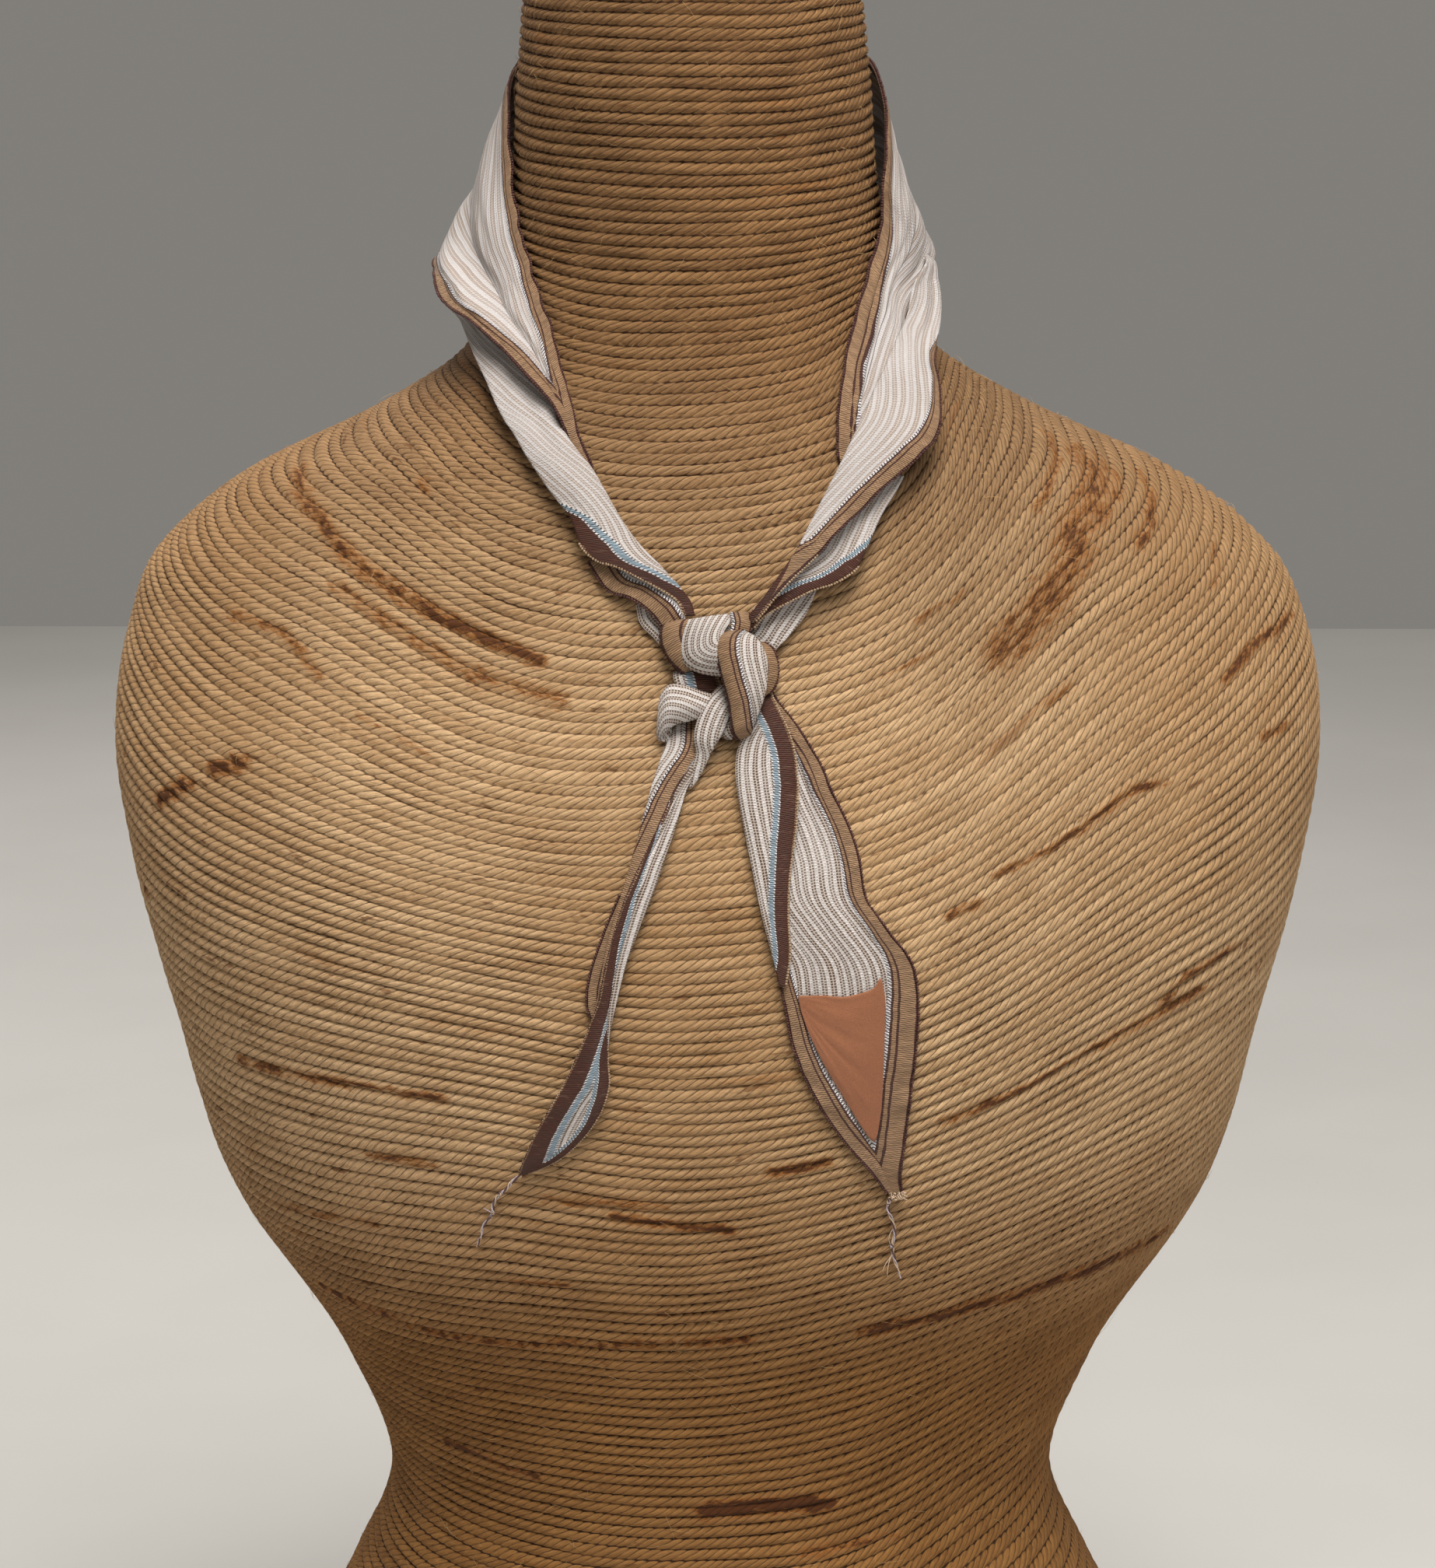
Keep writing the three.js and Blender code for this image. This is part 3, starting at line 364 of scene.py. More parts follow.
TAIL_RIGHT = table(SECTION, (
    (9.6, 467.2, 0.9, 11.7, 469.5, 0.9, 0), (11, 463.5, 2, 12.4, 465.5, 2, 0),
    (10.5, 456.5, 1.5, 15.6, 456.5, 1.5, 0), (10.2, 448, 1.2, 18, 447.5, 1.2, 0),
    (10, 437.5, 1.1, 19.7, 437.5, 1.1, 0), (9.7, 427.5, 1.1, 21.4, 427.5, 1.1, 0),
    (9.8, 418, 1.1, 22.3, 418, 1.1, 0), (10, 407.5, 1.1, 22.7, 407, 1.1, 0),
    (10.5, 398, 1.1, 25.2, 397.5, 1.1, 0), (11, 388, 1.1, 27.9, 387, 1.1, 0),
    (11.9, 375.5, 1.1, 28.5, 373.5, 1.1, 0), (13.1, 361.5, 1.1, 28.3, 360.5, 1.1, 0),
    (15.5, 348, 1.1, 27.9, 347, 1.1, 0), (19.2, 334, 1.1, 27.6, 333.5, 1.1, 0),
    (23.5, 322, 1.1, 27.3, 321, 1.1, 0), (26, 314, 1.1, 28, 312.5, 1.1, 0),
))
TAIL_RIGHT_FOLD = table(SECTION, (
    (7.6, 465.7, 2, 11.6, 467.5, 2, 0), (8.8, 458.5, 4.6, 12.4, 462.5, 4, 0.3),
    (6.6, 452, 3.8, 14, 455, 3.4, 0.6), (5.9, 445, 3.2, 14.7, 447, 3, 0.8),
    (6.3, 435.5, 2.9, 14.6, 435.5, 2.9, 0.8), (7.2, 424.5, 2.8, 13.8, 424, 2.8, 0.8),
    (8.2, 412.5, 2.7, 13, 415, 2.7, 0.6), (9.1, 402, 2.7, 12.5, 403, 2.7, 0.4),
    (10.2, 392, 2.7, 12.6, 391, 2.7, 0.2), (11.2, 381.5, 2.7, 12, 381.5, 2.7, 0),
))
TAIL_LABEL = table(SECTION, (
    (13.6, 378.5, 2.35, 13.9, 374.5, 2.35, 0), (15, 378.5, 2.35, 15.1, 366.2, 2.35, 0),
    (17, 378.5, 2.35, 17.2, 355.9, 2.35, 0), (19.4, 378, 2.35, 19.8, 345.3, 2.35, 0),
    (21.5, 379, 2.35, 22, 336.6, 2.35, 0), (23.1, 380.5, 2.35, 23.3, 332.6, 2.35, 0),
    (24, 383.5, 2.35, 23.9, 333.5, 2.35, 0), (24.5, 377.5, 2.35, 24.3, 343, 2.35, 0),
))
CHAIN_LEFT = table(ROUTE, (
    (-24.3, 319.7, 1), (-25.7, 317.1, 1), (-26.7, 314.1, 1), (-27.9, 311.9, 1), (-28.7, 308.7, 1),
    (-29.1, 305.1, 1), (-30.5, 301.4, 1), (-31.2, 297.5, 1), (-32.1, 293.5, 1),
))
CHAIN_RIGHT = table(ROUTE, (
    (26.5, 313.2, 1), (26.2, 309.5, 1), (26.7, 306.5, 1), (27.3, 303.2, 1), (27.6, 300, 1),
    (27.4, 296.8, 1), (27.6, 294.1, 1), (28.1, 291, 1), (28.7, 287.9, 1), (29.4, 284.5, 1),
))


# ---- the dress form ----

# At each height: half width, depths in front and behind, shift sideways and forward, and
# squareness of the form's level section.
FORM = np.array((
    (0, 166, 110, 112, 0, 0, 2.2), (40, 170, 114, 114, 0, 0, 2.2), (100, 153, 108, 108, 0, 0, 2.2),
    (150, 126, 96, 92, 0, 0, 2.15), (185, 112, 90, 86, 0, 0, 2.1), (230, 126, 98, 86, 0, 0, 2.1),
    (290, 163, 118, 94, 0, 0, 2.2), (350, 180, 128, 100, 0, 0, 2.3),
    (400, 192, 126, 104, 0, 0, 2.4), (440, 197, 116, 106, 0, 0, 2.4),
    (475, 192, 104, 104, 0, 0, 2.3), (500, 180, 95, 98, -1, 3, 2.2),
    (525, 148, 84, 88, -2, 6, 2.1), (545, 106, 74, 76, -3, 8, 2), (562, 78, 66, 66, -4, 10, 2),
    (580, 66, 61, 60, -5, 12, 2), (605, 60, 59, 57, -5, 14, 2), (650, 56, 60, 56, -5, 17, 2),
    (720, 49, 57, 54, -5, 20, 2),
), float)

# At each height in front: how much higher a row of twine passes at the sides of ROW_SIDES.
ROW_SIDES = (-180, -120, -90, -60, -30, 0, 30, 60, 90, 120)
ROW_RISE = np.array((
    (0, 0, 0, 0, 0, 0, 0, 0, 0, 0, 0), (80, 8, 7, 4, 1, 0, 0, 0, 3, 7, 8),
    (120, 18, 15, 9, 2, 0, 0, 1, 9, 16, 22), (160, 28, 25, 14, 4, 0, 0, 3, 21, 34, 36),
    (200, 32, 32, 16, 5, 0, 0, 7, 33, 50, 44), (240, 32, 30, 13, 2, 0, 0, 12, 37, 55, 45),
    (280, 33, 31, 14, 2, 1, 0, 15, 43, 62, 49), (320, 36, 36, 21, 10, 6, 0, 15, 54, 78, 52),
    (360, 38, 48, 38, 19, 7, 0, 15, 62, 95, 54), (400, 39, 62, 62, 26, 4, 0, 15, 63, 100, 62),
    (440, 38, 62, 66, 32, 1, 0, 14, 62, 88, 65), (480, 33, 48, 52, 35, 3, 0, 12, 53, 68, 53),
    (510, 24, 34, 38, 28, 4, 0, 9, 39, 49, 38), (540, 16, 21, 23, 18, 3, 0, 6, 24, 31, 24),
    (570, 11, 12, 13, 9, 1, 0, 3, 12, 16, 14), (600, 8, 8, 7, 4, 1, 0, 1, 4, 7, 7),
    (650, 5, 5, 5, 3, 1, 0, 0, 3, 5, 5), (704, 0, 0, 0, 0, 0, 0, 0, 0, 0, 0),
), float)

# Old stains: the half width in mm and the strength of each streak, then side and height of its
# points.
STAINS = (
    (3.6, 0.62, -73.3, 528.3, -61.2, 515.2, -56.9, 508.2, -49.5, 498.3, -41.8, 489.7),
    (2.6, 0.85, -42.7, 490.6, -37.7, 486.1, -32.7, 481.9, -25.5, 476),
    (3.6, 0.45, -54.3, 496.3, -45.2, 484.7, -34.5, 471.6, -21.6, 464.7),
    (2.2, 0.55, -65.3, 485.2, -58.7, 482, -52.9, 469.6), (2, 0.6, -51.7, 528.3, -49.8, 525.5),
    (2.6, 1, -68.1, 425.7, -64.2, 433.4), (2.6, 1, -61.4, 438.4, -58, 442.2),
    (2, 0.9, -75.5, 394, -75, 390.9), (1, 0.5, -46.8, 458.3, -35.7, 445.8),
    (2, 0.6, 74.8, 539, 62.9, 527.3, 57.2, 519.1),
    (8, 0.55, 74, 532.8, 60.3, 512.5, 52.5, 493.6, 44.7, 478.6),
    (3.5, 0.5, 72.3, 525.8, 69.7, 521.7), (2.4, 0.65, 78.8, 527, 70, 513.5, 65.6, 506.8),
    (2.6, 0.35, 75.2, 504.1, 70.7, 493.7), (2, 0.8, 81.5, 480.4, 72.1, 474.5, 67, 465.3),
    (1.8, 0.65, 73.9, 448.7, 69.9, 446.5), (1.5, 0.55, 50.9, 466.8, 47.6, 461.8),
    (1.3, 0.9, 57.6, 436.7, 54.3, 436.2, 51.3, 430.6, 47.7, 424.3, 41.7, 416.7, 38.1, 412.5),
    (1.8, 0.6, 36.4, 405.1, 32.5, 401.5), (1.8, 0.75, 67, 381, 59.9, 374.8, 57.1, 366.1),
    (1.6, 0.85, 62.8, 370, 56, 363.3, 49.7, 355.7, 44.5, 348.5, 40.1, 343.4, 32, 336.1),
    (2, 0.85, -61.4, 344.1, -48.2, 344.2, -33.4, 342.2), (1.8, 0.65, -44.9, 320.8, -35.7, 319.8),
    (2, 0.55, -65.4, 293.7, -46.5, 296.1), (2.6, 0.45, -21.7, 310.6, -5.3, 310.6),
    (1.8, 0.95, -12.1, 305.7, 4.7, 301.6), (1.8, 1, 10.3, 321.2, 17.6, 324.6),
    (1.5, 0.6, -29.4, 280.8, -20.1, 281.1),
    (2, 0.9, -65.1, 263.1, -41.7, 256.3, -15.8, 259.6, 7.3, 262.7),
    (2.8, 0.9, 25.7, 264.2, 40.1, 269.7, 56.6, 275.6, 71.7, 280.9),
    (2, 0.85, -52.6, 213, -33.4, 207.6), (3.6, 1, -0.4, 199.9, 11.9, 201.4, 24.1, 201.3),
    (2.4, 0.6, 19, 184.6, 37.5, 187.3), (1.2, 0.5, 36, 478.1, 28.1, 471.6),
    (1.5, 0.45, 42.5, 496.2, 35.1, 487.4),
)


@dataclass(frozen=True)
class DressForm:
    """The torso and neck: level super-ellipse sections whose sizes change smoothly with height."""

    neck_top: float = 704.0
    crown_rise: float = 18.0
    sections: Curve = field(default_factory=lambda: smooth_curve(FORM[:, 0], FORM[:, 1:]))

    def surface(self, side: Array, height: Array, share: Array | float = 1.0) -> Array:
        """Points on the surface: radius (|sin/half|^p + |cos/depth|^p)^(-1/p) about the axis.

        Args:
            side: degrees round the form, 0 in front and 90 at +X.
            height: millimetres above the underside.
            share: how much of the radius to take.

        Returns:
            Points in millimetres.
        """
        turn = np.radians(side)
        half, front, back, sideways, forward, power = np.moveaxis(self.sections(height), -1, 0)
        sine, cosine = np.sin(turn), np.cos(turn)
        depth = np.where(cosine > 0, front, back)
        across = np.abs(sine / half) ** power + np.abs(cosine / depth) ** power
        radius = share * across ** (-1 / power)
        x = sideways + radius * sine
        y = -forward - radius * cosine
        return np.stack(np.broadcast_arrays(x, y, height), -1).astype(float)

    def normal(self, side: Array, height: Array, reach: float = 0.05) -> Array:
        """Outward unit normals: the step round the form crossed with the step up it."""
        level = self.surface(side + reach, height) - self.surface(side - reach, height)
        upward = self.surface(side, height + reach) - self.surface(side, height - reach)
        return unit(np.cross(level, upward))

    def point(self, side: Array, height: Array, gap: Array) -> Array:
        """Points moved out square from the surface by a gap."""
        out = np.asarray(gap, float)[..., None]
        return self.surface(side, height) + out * self.normal(side, height)

    def covered(self, side: Array, height: Array, rise: Array) -> Array:
        """Points on the wall, and over the crown as rise goes from 0 at its rim to 90 degrees."""
        over = np.radians(rise)
        made = self.surface(side, height, np.cos(over))
        made[..., 2] += self.crown_rise * np.sin(over)
        return made


@dataclass(frozen=True)
class TwineWinding:
    """Rows of jute twine wound over the whole form, one ridge each, with loose fibres.

    Sizes are in millimetres: rows wander up and down and sink along their length, the valleys
    between them are uneven, and the wander fades out near the underside and the crown. Levels
    are rings to a row, and cuts are the shares of the rings at which the pieces start.
    """

    form: DressForm
    pitch: float = 3.7
    columns: int = 300
    levels: int = 4
    valley: float = 1.15
    wander: float = 0.30
    fade: float = 12.0
    sink: float = 0.16
    uneven: float = 0.30
    cuts: tuple[float, ...] = (0, 0.36, 0.7)
    fibres: int = 2600
    fibre_span: tuple[float, float] = (30, 690)
    fibre_lift: tuple[float, float] = (0.6, 3.2)
    fibre_rise: tuple[float, float] = (-0.6, 0.9)
    fibre_curl: float = 1.6
    fibre_radius: tuple[float, float] = (0.045, 0.085)
    seed: int = 7

    def row_height(self, front: Array, side: Array) -> Array:
        """Height of rows at each side: the height in front plus the table's smooth rise.

        Args:
            front: heights at which the rows pass in front, (n,).
            side: degrees round the form, (m,), from -180 to 180.

        Returns:
            Heights (n, m).
        """
        at = np.array(ROW_SIDES, float)
        rise = smooth_curve(ROW_RISE[:, 0], ROW_RISE[:, 1:])(front)
        wrapped = np.concatenate([rise[:, -2:], rise, rise[:, :3]], 1)
        around = np.concatenate([at[-2:] - 360, at, at[:3] + 360])
        return front[:, None] + smooth_curve(around, wrapped.T)(side).T

    def ripple(self, rows: int, side: Array, seed: int, last: int) -> Array:
        """Waves round each row: whole numbers of waves whose sizes drift from row to row.

        Args:
            rows: how many rows.
            side: degrees round the form.
            seed: the seed of the wave sizes.
            last: most waves round the form.

        Returns:
            Offsets (rows, sides), about -1 to 1.
        """
        waves = np.arange(1, last + 1)
        turn = np.radians(side)[None, :] * waves[:, None]
        shape, cells = (rows, last), (rows / 3, last - 1.0)
        cosine, sine = smooth_noise(shape, cells, seed), smooth_noise(shape, cells, seed + 1)
        return (cosine @ np.cos(turn) + sine @ np.sin(turn)) / np.sqrt(last)

    def front_levels(self) -> tuple[Array, Array]:
        """Heights in front and turns over the crown of rings spaced evenly up the surface.

        Returns:
            Millimetres and degrees, one of each for each ring.
        """
        up, over = np.linspace(0, self.form.neck_top, 3000), np.linspace(0, 88.0, 400)[1:]
        height = np.append(up, np.full(len(over), self.form.neck_top))
        rise = np.append(np.zeros(len(up)), over)
        length = run_length(self.form.covered(np.zeros(len(height)), height, rise))
        count = int(length[-1] / self.pitch) * self.levels
        at = np.linspace(0, length[-1], count + 1)
        return np.interp(at, length, height), np.interp(at, length, rise)

    def rings(self) -> tuple[Array, Array, Array]:
        """The wound surface as closed rings, a few for each row of twine.

        Each row stands as a round ridge: depth = valley (1 - sqrt(1 - (2 f - 1)^2)), with f the
        place across the row, and rows wander and sink a little along their length.

        Returns:
            Points (rings, columns, 3), sides in degrees and heights (rings, columns).
        """
        front, rise = self.front_levels()
        side = np.linspace(-180, 180, self.columns, endpoint=False)
        ring = np.arange(len(front))
        wander = self.wander * self.ripple(len(front), side, self.seed, 9)
        fade = np.clip(np.minimum(front, self.form.neck_top - front) / self.fade, 0, 1)
        height = np.minimum(self.row_height(front, side) + wander * fade[:, None],
                            self.form.neck_top)
        place = ring % self.levels / self.levels
        ridge = np.sqrt(np.clip(1 - (2 * place - 1) ** 2, 0, 1))[:, None]
        count = (len(front) - 1) // self.levels
        rows = np.minimum(ring // self.levels, count - 1)
        sunk = self.sink + self.sink * self.ripple(count, side, self.seed + 5, 40)[rows]
        gaps = 1 + self.uneven * self.ripple(count, side, self.seed + 9, 30)[rows]
        depth = np.clip(sunk, 0, 0.6) * ridge + self.valley * gaps * (1 - ridge)
        points = self.form.covered(side[None, :], height, rise[:, None])
        out = unit(np.cross(np.roll(points, -1, 1) - np.roll(points, 1, 1),
                            np.gradient(points, axis=0)))
        edge = np.clip(ring / self.levels, 0, 1)[:, None]
        made = points - (depth * edge)[..., None] * out
        return made, np.broadcast_to(side, height.shape), height

    def stain_mask(self, side: Array, height: Array, points: Array) -> Array:
        """How stained points are: strength exp(-(distance / width)^2) of the nearest streak.

        Args:
            side: sides of the points.
            height: heights of the points.
            points: the points.

        Returns:
            A mask from 0 to 1 in the shape of side.
        """
        mask = np.zeros(side.shape)
        for width, strength, *route in STAINS:
            sides, heights = np.reshape(route, (-1, 2)).T
            near = ((side > sides.min() - 12) & (side < sides.max() + 12)
                    & (height > heights.min() - 25) & (height < heights.max() + 25))
            steps = np.linspace(0, len(sides) - 1, 9 * len(sides))
            line = self.form.surface(*(np.interp(steps, np.arange(len(sides)), v)
                                       for v in (sides, heights)))
            apart = np.linalg.norm(points[near][:, None] - line, axis=-1).min(1)
            mask[near] = np.maximum(mask[near], strength * np.exp(-(apart / width) ** 2))
        return mask

    def row_map(self, part: Array, start: int) -> Array:
        """UV of the rings' faces: centimetres along the row, and rows up the form.

        Args:
            part: rings of points (rings, columns, 3), whose first ring starts a row.
            start: the number of the first ring.

        Returns:
            An array (faces, 4, 2), in the order of the reversed grid quads.
        """
        length = run_length(np.concatenate([part, part[:, :1]], 1), 1) / 10
        i, j = np.mgrid[:len(part) - 1, :self.columns]
        crest = np.minimum(i // self.levels * self.levels + self.levels // 2, len(part) - 1)
        low = (start + i) / self.levels
        high = low + 0.999 / self.levels
        here, after = length[crest, j], length[crest, j + 1]
        corners = [(after, low), (after, high), (here, high), (here, low)]
        return np.stack([np.stack(c, -1) for c in corners], -2).reshape(-1, 4, 2)

    def build(self) -> list[Object]:
        """Makes the winding in three pieces, closed at the underside and the crown.

        Returns:
            The pieces, lowest first.
        """
        points, side, height = self.rings()
        stain = self.stain_mask(side, height, points)
        last, made = len(points) - 1, []
        cuts = [int(last * share) // self.levels * self.levels for share in self.cuts]
        for name, start, end in zip(("twine_lower", "twine_middle", "twine_upper"), cuts,
                                    [*cuts[1:], last]):
            part = points[start:end + 1]
            body, mask = part.reshape(-1, 3), stain[start:end + 1].ravel()
            groups = [grid_quads(len(part), self.columns, closed=True)[:, ::-1]]
            uv = [self.row_map(part, start)]
            for ring, ends in ((0, start == 0), (len(part) - 1, end == last)):
                if ends:
                    here = ring * self.columns + np.arange(self.columns)
                    after, pole = np.roll(here, -1), np.full(self.columns, len(body))
                    groups.append(np.stack([here, after, pole] if ring else
                                           [after, here, pole], 1))
                    uv.append(np.repeat(part[ring][:, None, :2] / 10, 3, 1))
                    body = np.vstack([body, part[ring].mean(0, keepdims=True)])
                    mask = np.append(mask, 0.0)
            made.append(make_mesh(name, body, groups, maps={"winding": uv},
                                  masks={"stain": mask}, parts=[0, 1][:len(groups)]))
        return made

    def build_fibres(self) -> Object:
        """Loose fibres: thin three-sided hairs that lift off the rows and bend back.

        Each hair's line is start + t ahead + (lift t (1 - t) + rise t) out + curl t^2 aside.

        Returns:
            One piece with all the hairs.
        """
        rng, count = np.random.default_rng(self.seed + 40), self.fibres
        side = rng.uniform(-180, 180, count)
        front = rng.uniform(*self.fibre_span, count)
        exact = np.array([self.row_height(front[k:k + 1], side[k:k + 1])[0, 0]
                          for k in range(count)])
        height = np.clip(exact, 5, self.form.neck_top - 4)
        start = self.form.point(side, height, np.full(count, -0.4))
        out = self.form.normal(side, height)
        level = unit(np.cross(np.array([0, 0, 1.0]), out))
        angle = rng.normal(0.1, 0.5, count)[:, None]
        ahead = level * np.cos(angle) + np.cross(out, level) * np.sin(angle)
        length = rng.gamma(3.0, 1.7, count)[:, None] + 1.5
        lift = rng.uniform(*self.fibre_lift, count)[:, None]
        rise = rng.uniform(*self.fibre_rise, count)[:, None]
        curl = rng.normal(0, self.fibre_curl, count)[:, None]
        t = np.linspace(0, 1, 4)[:, None, None]
        line = (start + t * length * ahead + (lift * t * (1 - t) + rise * t) * out
                + curl * t ** 2 * np.cross(out, ahead))
        radius = rng.uniform(*self.fibre_radius, count)[:, None] * (1 - 0.55 * t[:, 0, 0])
        return make_mesh("twine_fibres", *tubes(np.moveaxis(line, 0, 1), radius, out[:, None], 3))


HAIR = "at right up bend radius"


@dataclass(frozen=True)
class Chain:
    """One thread chain: its cord's facts, how its strands twist, and the hairs that leave it.

    Attributes:
        side: the tail that it hangs from.
        route: side, height and gap of its points.
        length: the cord's length in metres; not used.
        ends: the share of the line at which each strand ends.
        turns: turns of the twist.
        knots: shares of the line at which a small knot sits.
        hairs: where each hair leaves, how far it reaches right and up, its bend and radius.
    """

    side: str
    route: Table
    length: float
    ends: tuple[float, ...]
    turns: float
    knots: tuple[float, ...]
    hairs: Table


CHAINS = (
    Chain("left", CHAIN_LEFT, 0.0330, (0.985, 1.0, 0.97), 4.6, (0.33, 0.62), table(HAIR, (
        (0.60, -2.8, 1.6, 0.3, 0.14), (0.82, -1.5, -2.8, 0.5, 0.13)))),
    Chain("right", CHAIN_RIGHT, 0.0311, (0.80, 0.95, 1.0), 3.4, (0.06, 0.585), table(HAIR, (
        (0.70, -3.2, -5.6, -0.5, 0.17), (0.68, -1.6, -7.6, -0.5, 0.15),
        (0.36, -1.3, -5.2, -0.9, 0.13)))),
)


@dataclass(frozen=True)
class ThreadChains:
    """The two loose ends of overlock thread: three strands twisted together, knotted, frayed."""

    form: DressForm
    diameter: float = 0.001
    facing: tuple[float, float, float] = (0.0, -1.0, 0.1)
    stations: int = 110
    strand: float = 0.24
    knot: float = 0.022
    tuft: int = 34
    tuft_seed: int = 23
    tuft_radius: float = 0.16

    def line(self, route: Table, share: Array) -> Array:
        """Points along a chain's smooth line, at shares of it from 0 to 1."""
        knots = self.form.point(route["side"], route["height"], route["gap"] + 0.2)
        return smooth_curve(np.linspace(0, 1, len(knots)), knots)(share)

    def strands(self, chain: Chain) -> tuple[Array, list[Array]]:
        """Twisted strands: line + reach (cos a across + sin a out), a = 2 pi (turns t + k / 3).

        Args:
            chain: the chain.

        Returns:
            The points, and the walls of each strand followed by the ends of each.
        """
        body, walls, tips, first = [], [], [], 0
        out = self.form.normal(np.zeros(1), np.array([300.0]))
        for number, end in enumerate(chain.ends):
            share = np.linspace(0, end, self.stations)
            line = self.line(chain.route, share)
            across = unit(np.cross(unit(np.gradient(line, axis=0)), out))
            lump = sum(np.exp(-((share - at) / self.knot) ** 2) for at in chain.knots)
            angle = 2 * np.pi * (chain.turns * share + number / 3 + 1.6 * lump)[:, None]
            reach = 0.27 + 0.16 * np.sin(5 * np.pi * share + number) ** 2
            reach = reach * (1 - 0.75 * (share > 0.72) * (share - 0.72) / 0.28) + 0.1 * lump
            line = line + reach[:, None] * (np.cos(angle) * across + np.sin(angle) * out)
            radius = self.strand + 0.03 * np.sin(9 * share + 2 * number) + 0.13 * lump
            points, (wall, tip) = tubes(line[None], radius[None], out[None], 7)
            body.append(points)
            walls.append(wall + first)
            tips.append(tip + first)
            first += len(points)
        return np.vstack(body), walls + tips

    def frays(self, chain: Chain) -> Object:
        """Loose hairs that leave a chain, bowed across it and thinner towards their ends.

        Args:
            chain: the chain.

        Returns:
            One piece with its hairs.
        """
        hairs = chain.hairs
        none = 0 * hairs["bend"]
        line = bowed(self.line(chain.route, hairs["at"]),
                     np.stack([hairs["right"], none, hairs["up"]], -1),
                     np.stack([hairs["bend"], none - 0.4, none], -1), 12)
        radius = hairs["radius"][:, None] * (1 - 0.35 * np.linspace(0, 1, 12))
        return make_mesh(f"thread_{chain.side}_frays",
                         *tubes(line, radius, np.array([[self.facing]]), 6))

    def build_tuft(self) -> Object:
        """Frayed thread at the right tip: a cluster of short bowed hairs.

        Returns:
            One piece with all of them.
        """
        rng = np.random.default_rng(self.tuft_seed)
        start = self.line(CHAIN_RIGHT, np.zeros(1)) + rng.uniform(
            (-0.5, -1.0, 0.0), (3.2, 0.0, 1.6), (self.tuft, 3))
        reach = rng.uniform((-0.8, -0.5, -2.2), (1.8, 0.1, 0.3), (self.tuft, 3))
        line = bowed(start, reach, rng.uniform(-0.6, 0.6, (self.tuft, 3)), 6)
        return make_mesh("tip_tuft", *tubes(line, np.full(line.shape[:2], self.tuft_radius),
                                            np.array([[self.facing]]), 5))

    def build(self, brown: Material, cream: Material,
              violet: Material) -> None:
        """Args:
            brown: the first strand's thread.
            cream: the second strand's, the tuft's and the right chain's frays.
            violet: the third strand's and the left chain's frays.
        """
        dress(self.build_tuft(), "thread", cream)
        for chain, loose in zip(CHAINS, (violet, cream)):
            piece = make_mesh(f"thread_{chain.side}", *self.strands(chain),
                              parts=(0, 1, 2, 0, 1, 2))
            dress(piece, "thread", brown, cream, violet)
            hairs = self.frays(chain)
            dress(hairs, "thread", loose)
            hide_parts(f"chain_{chain.side}")
            path = self.line(chain.route, np.linspace(0, 0.985, 60)) * MM


# ---- the scarf's stretches ----


class Face(Enum):
    """Which face of the strip looks outward."""

    FRONT = 0
    REVERSE = 1


class StripesFrom(Enum):
    """Where a lane's stripes are counted from."""

    NEAR = "near"
    FAR = "far"
    BOTH = "both"


FRONT, REVERSE = Face.FRONT, Face.REVERSE
BOTH, FAR = StripesFrom.BOTH, StripesFrom.FAR

# The overlocked band, in millimetres in from the edge: its width, the slope at its inner side,
# the groove between its threads and the rounding of the edge. A lane that lies over another
# comes down to it over the lap.
BAND_WIDTH, BAND_SLOPE = 10.6, 0.9
GROOVE_AT, GROOVE_WIDTH = 7.1, 0.55
ROUND_END, LAP = 0.6, 6.0

# How far apart soft folds, fine folds and edge waves are, in millimetres along and across, how
# far in the waves reach from an edge, and over what length all of them fade at a stretch's ends.
SOFT_FOLD, FINE_FOLD, WAVE = (26.0, 5.0), (12.0, 2.6), 6.5
WAVE_REACH, END_FADE = 4.5, 9.0

# A sheet's sides are stated as at least the least side, in metres, and its area as at least the
# least fill of the sides' product.
LEAST_SIDE, LEAST_FILL = 0.0101, 0.31
Run = float | tuple[tuple[float, float], ...]


def run_at(run: Run, row: Array) -> Array:
    """A number along a stretch: the same all along, or straight between (row, value) pairs."""
    if isinstance(run, tuple):
        return np.interp(row, *np.array(run, float).T)
    return np.full(np.shape(row), float(run))


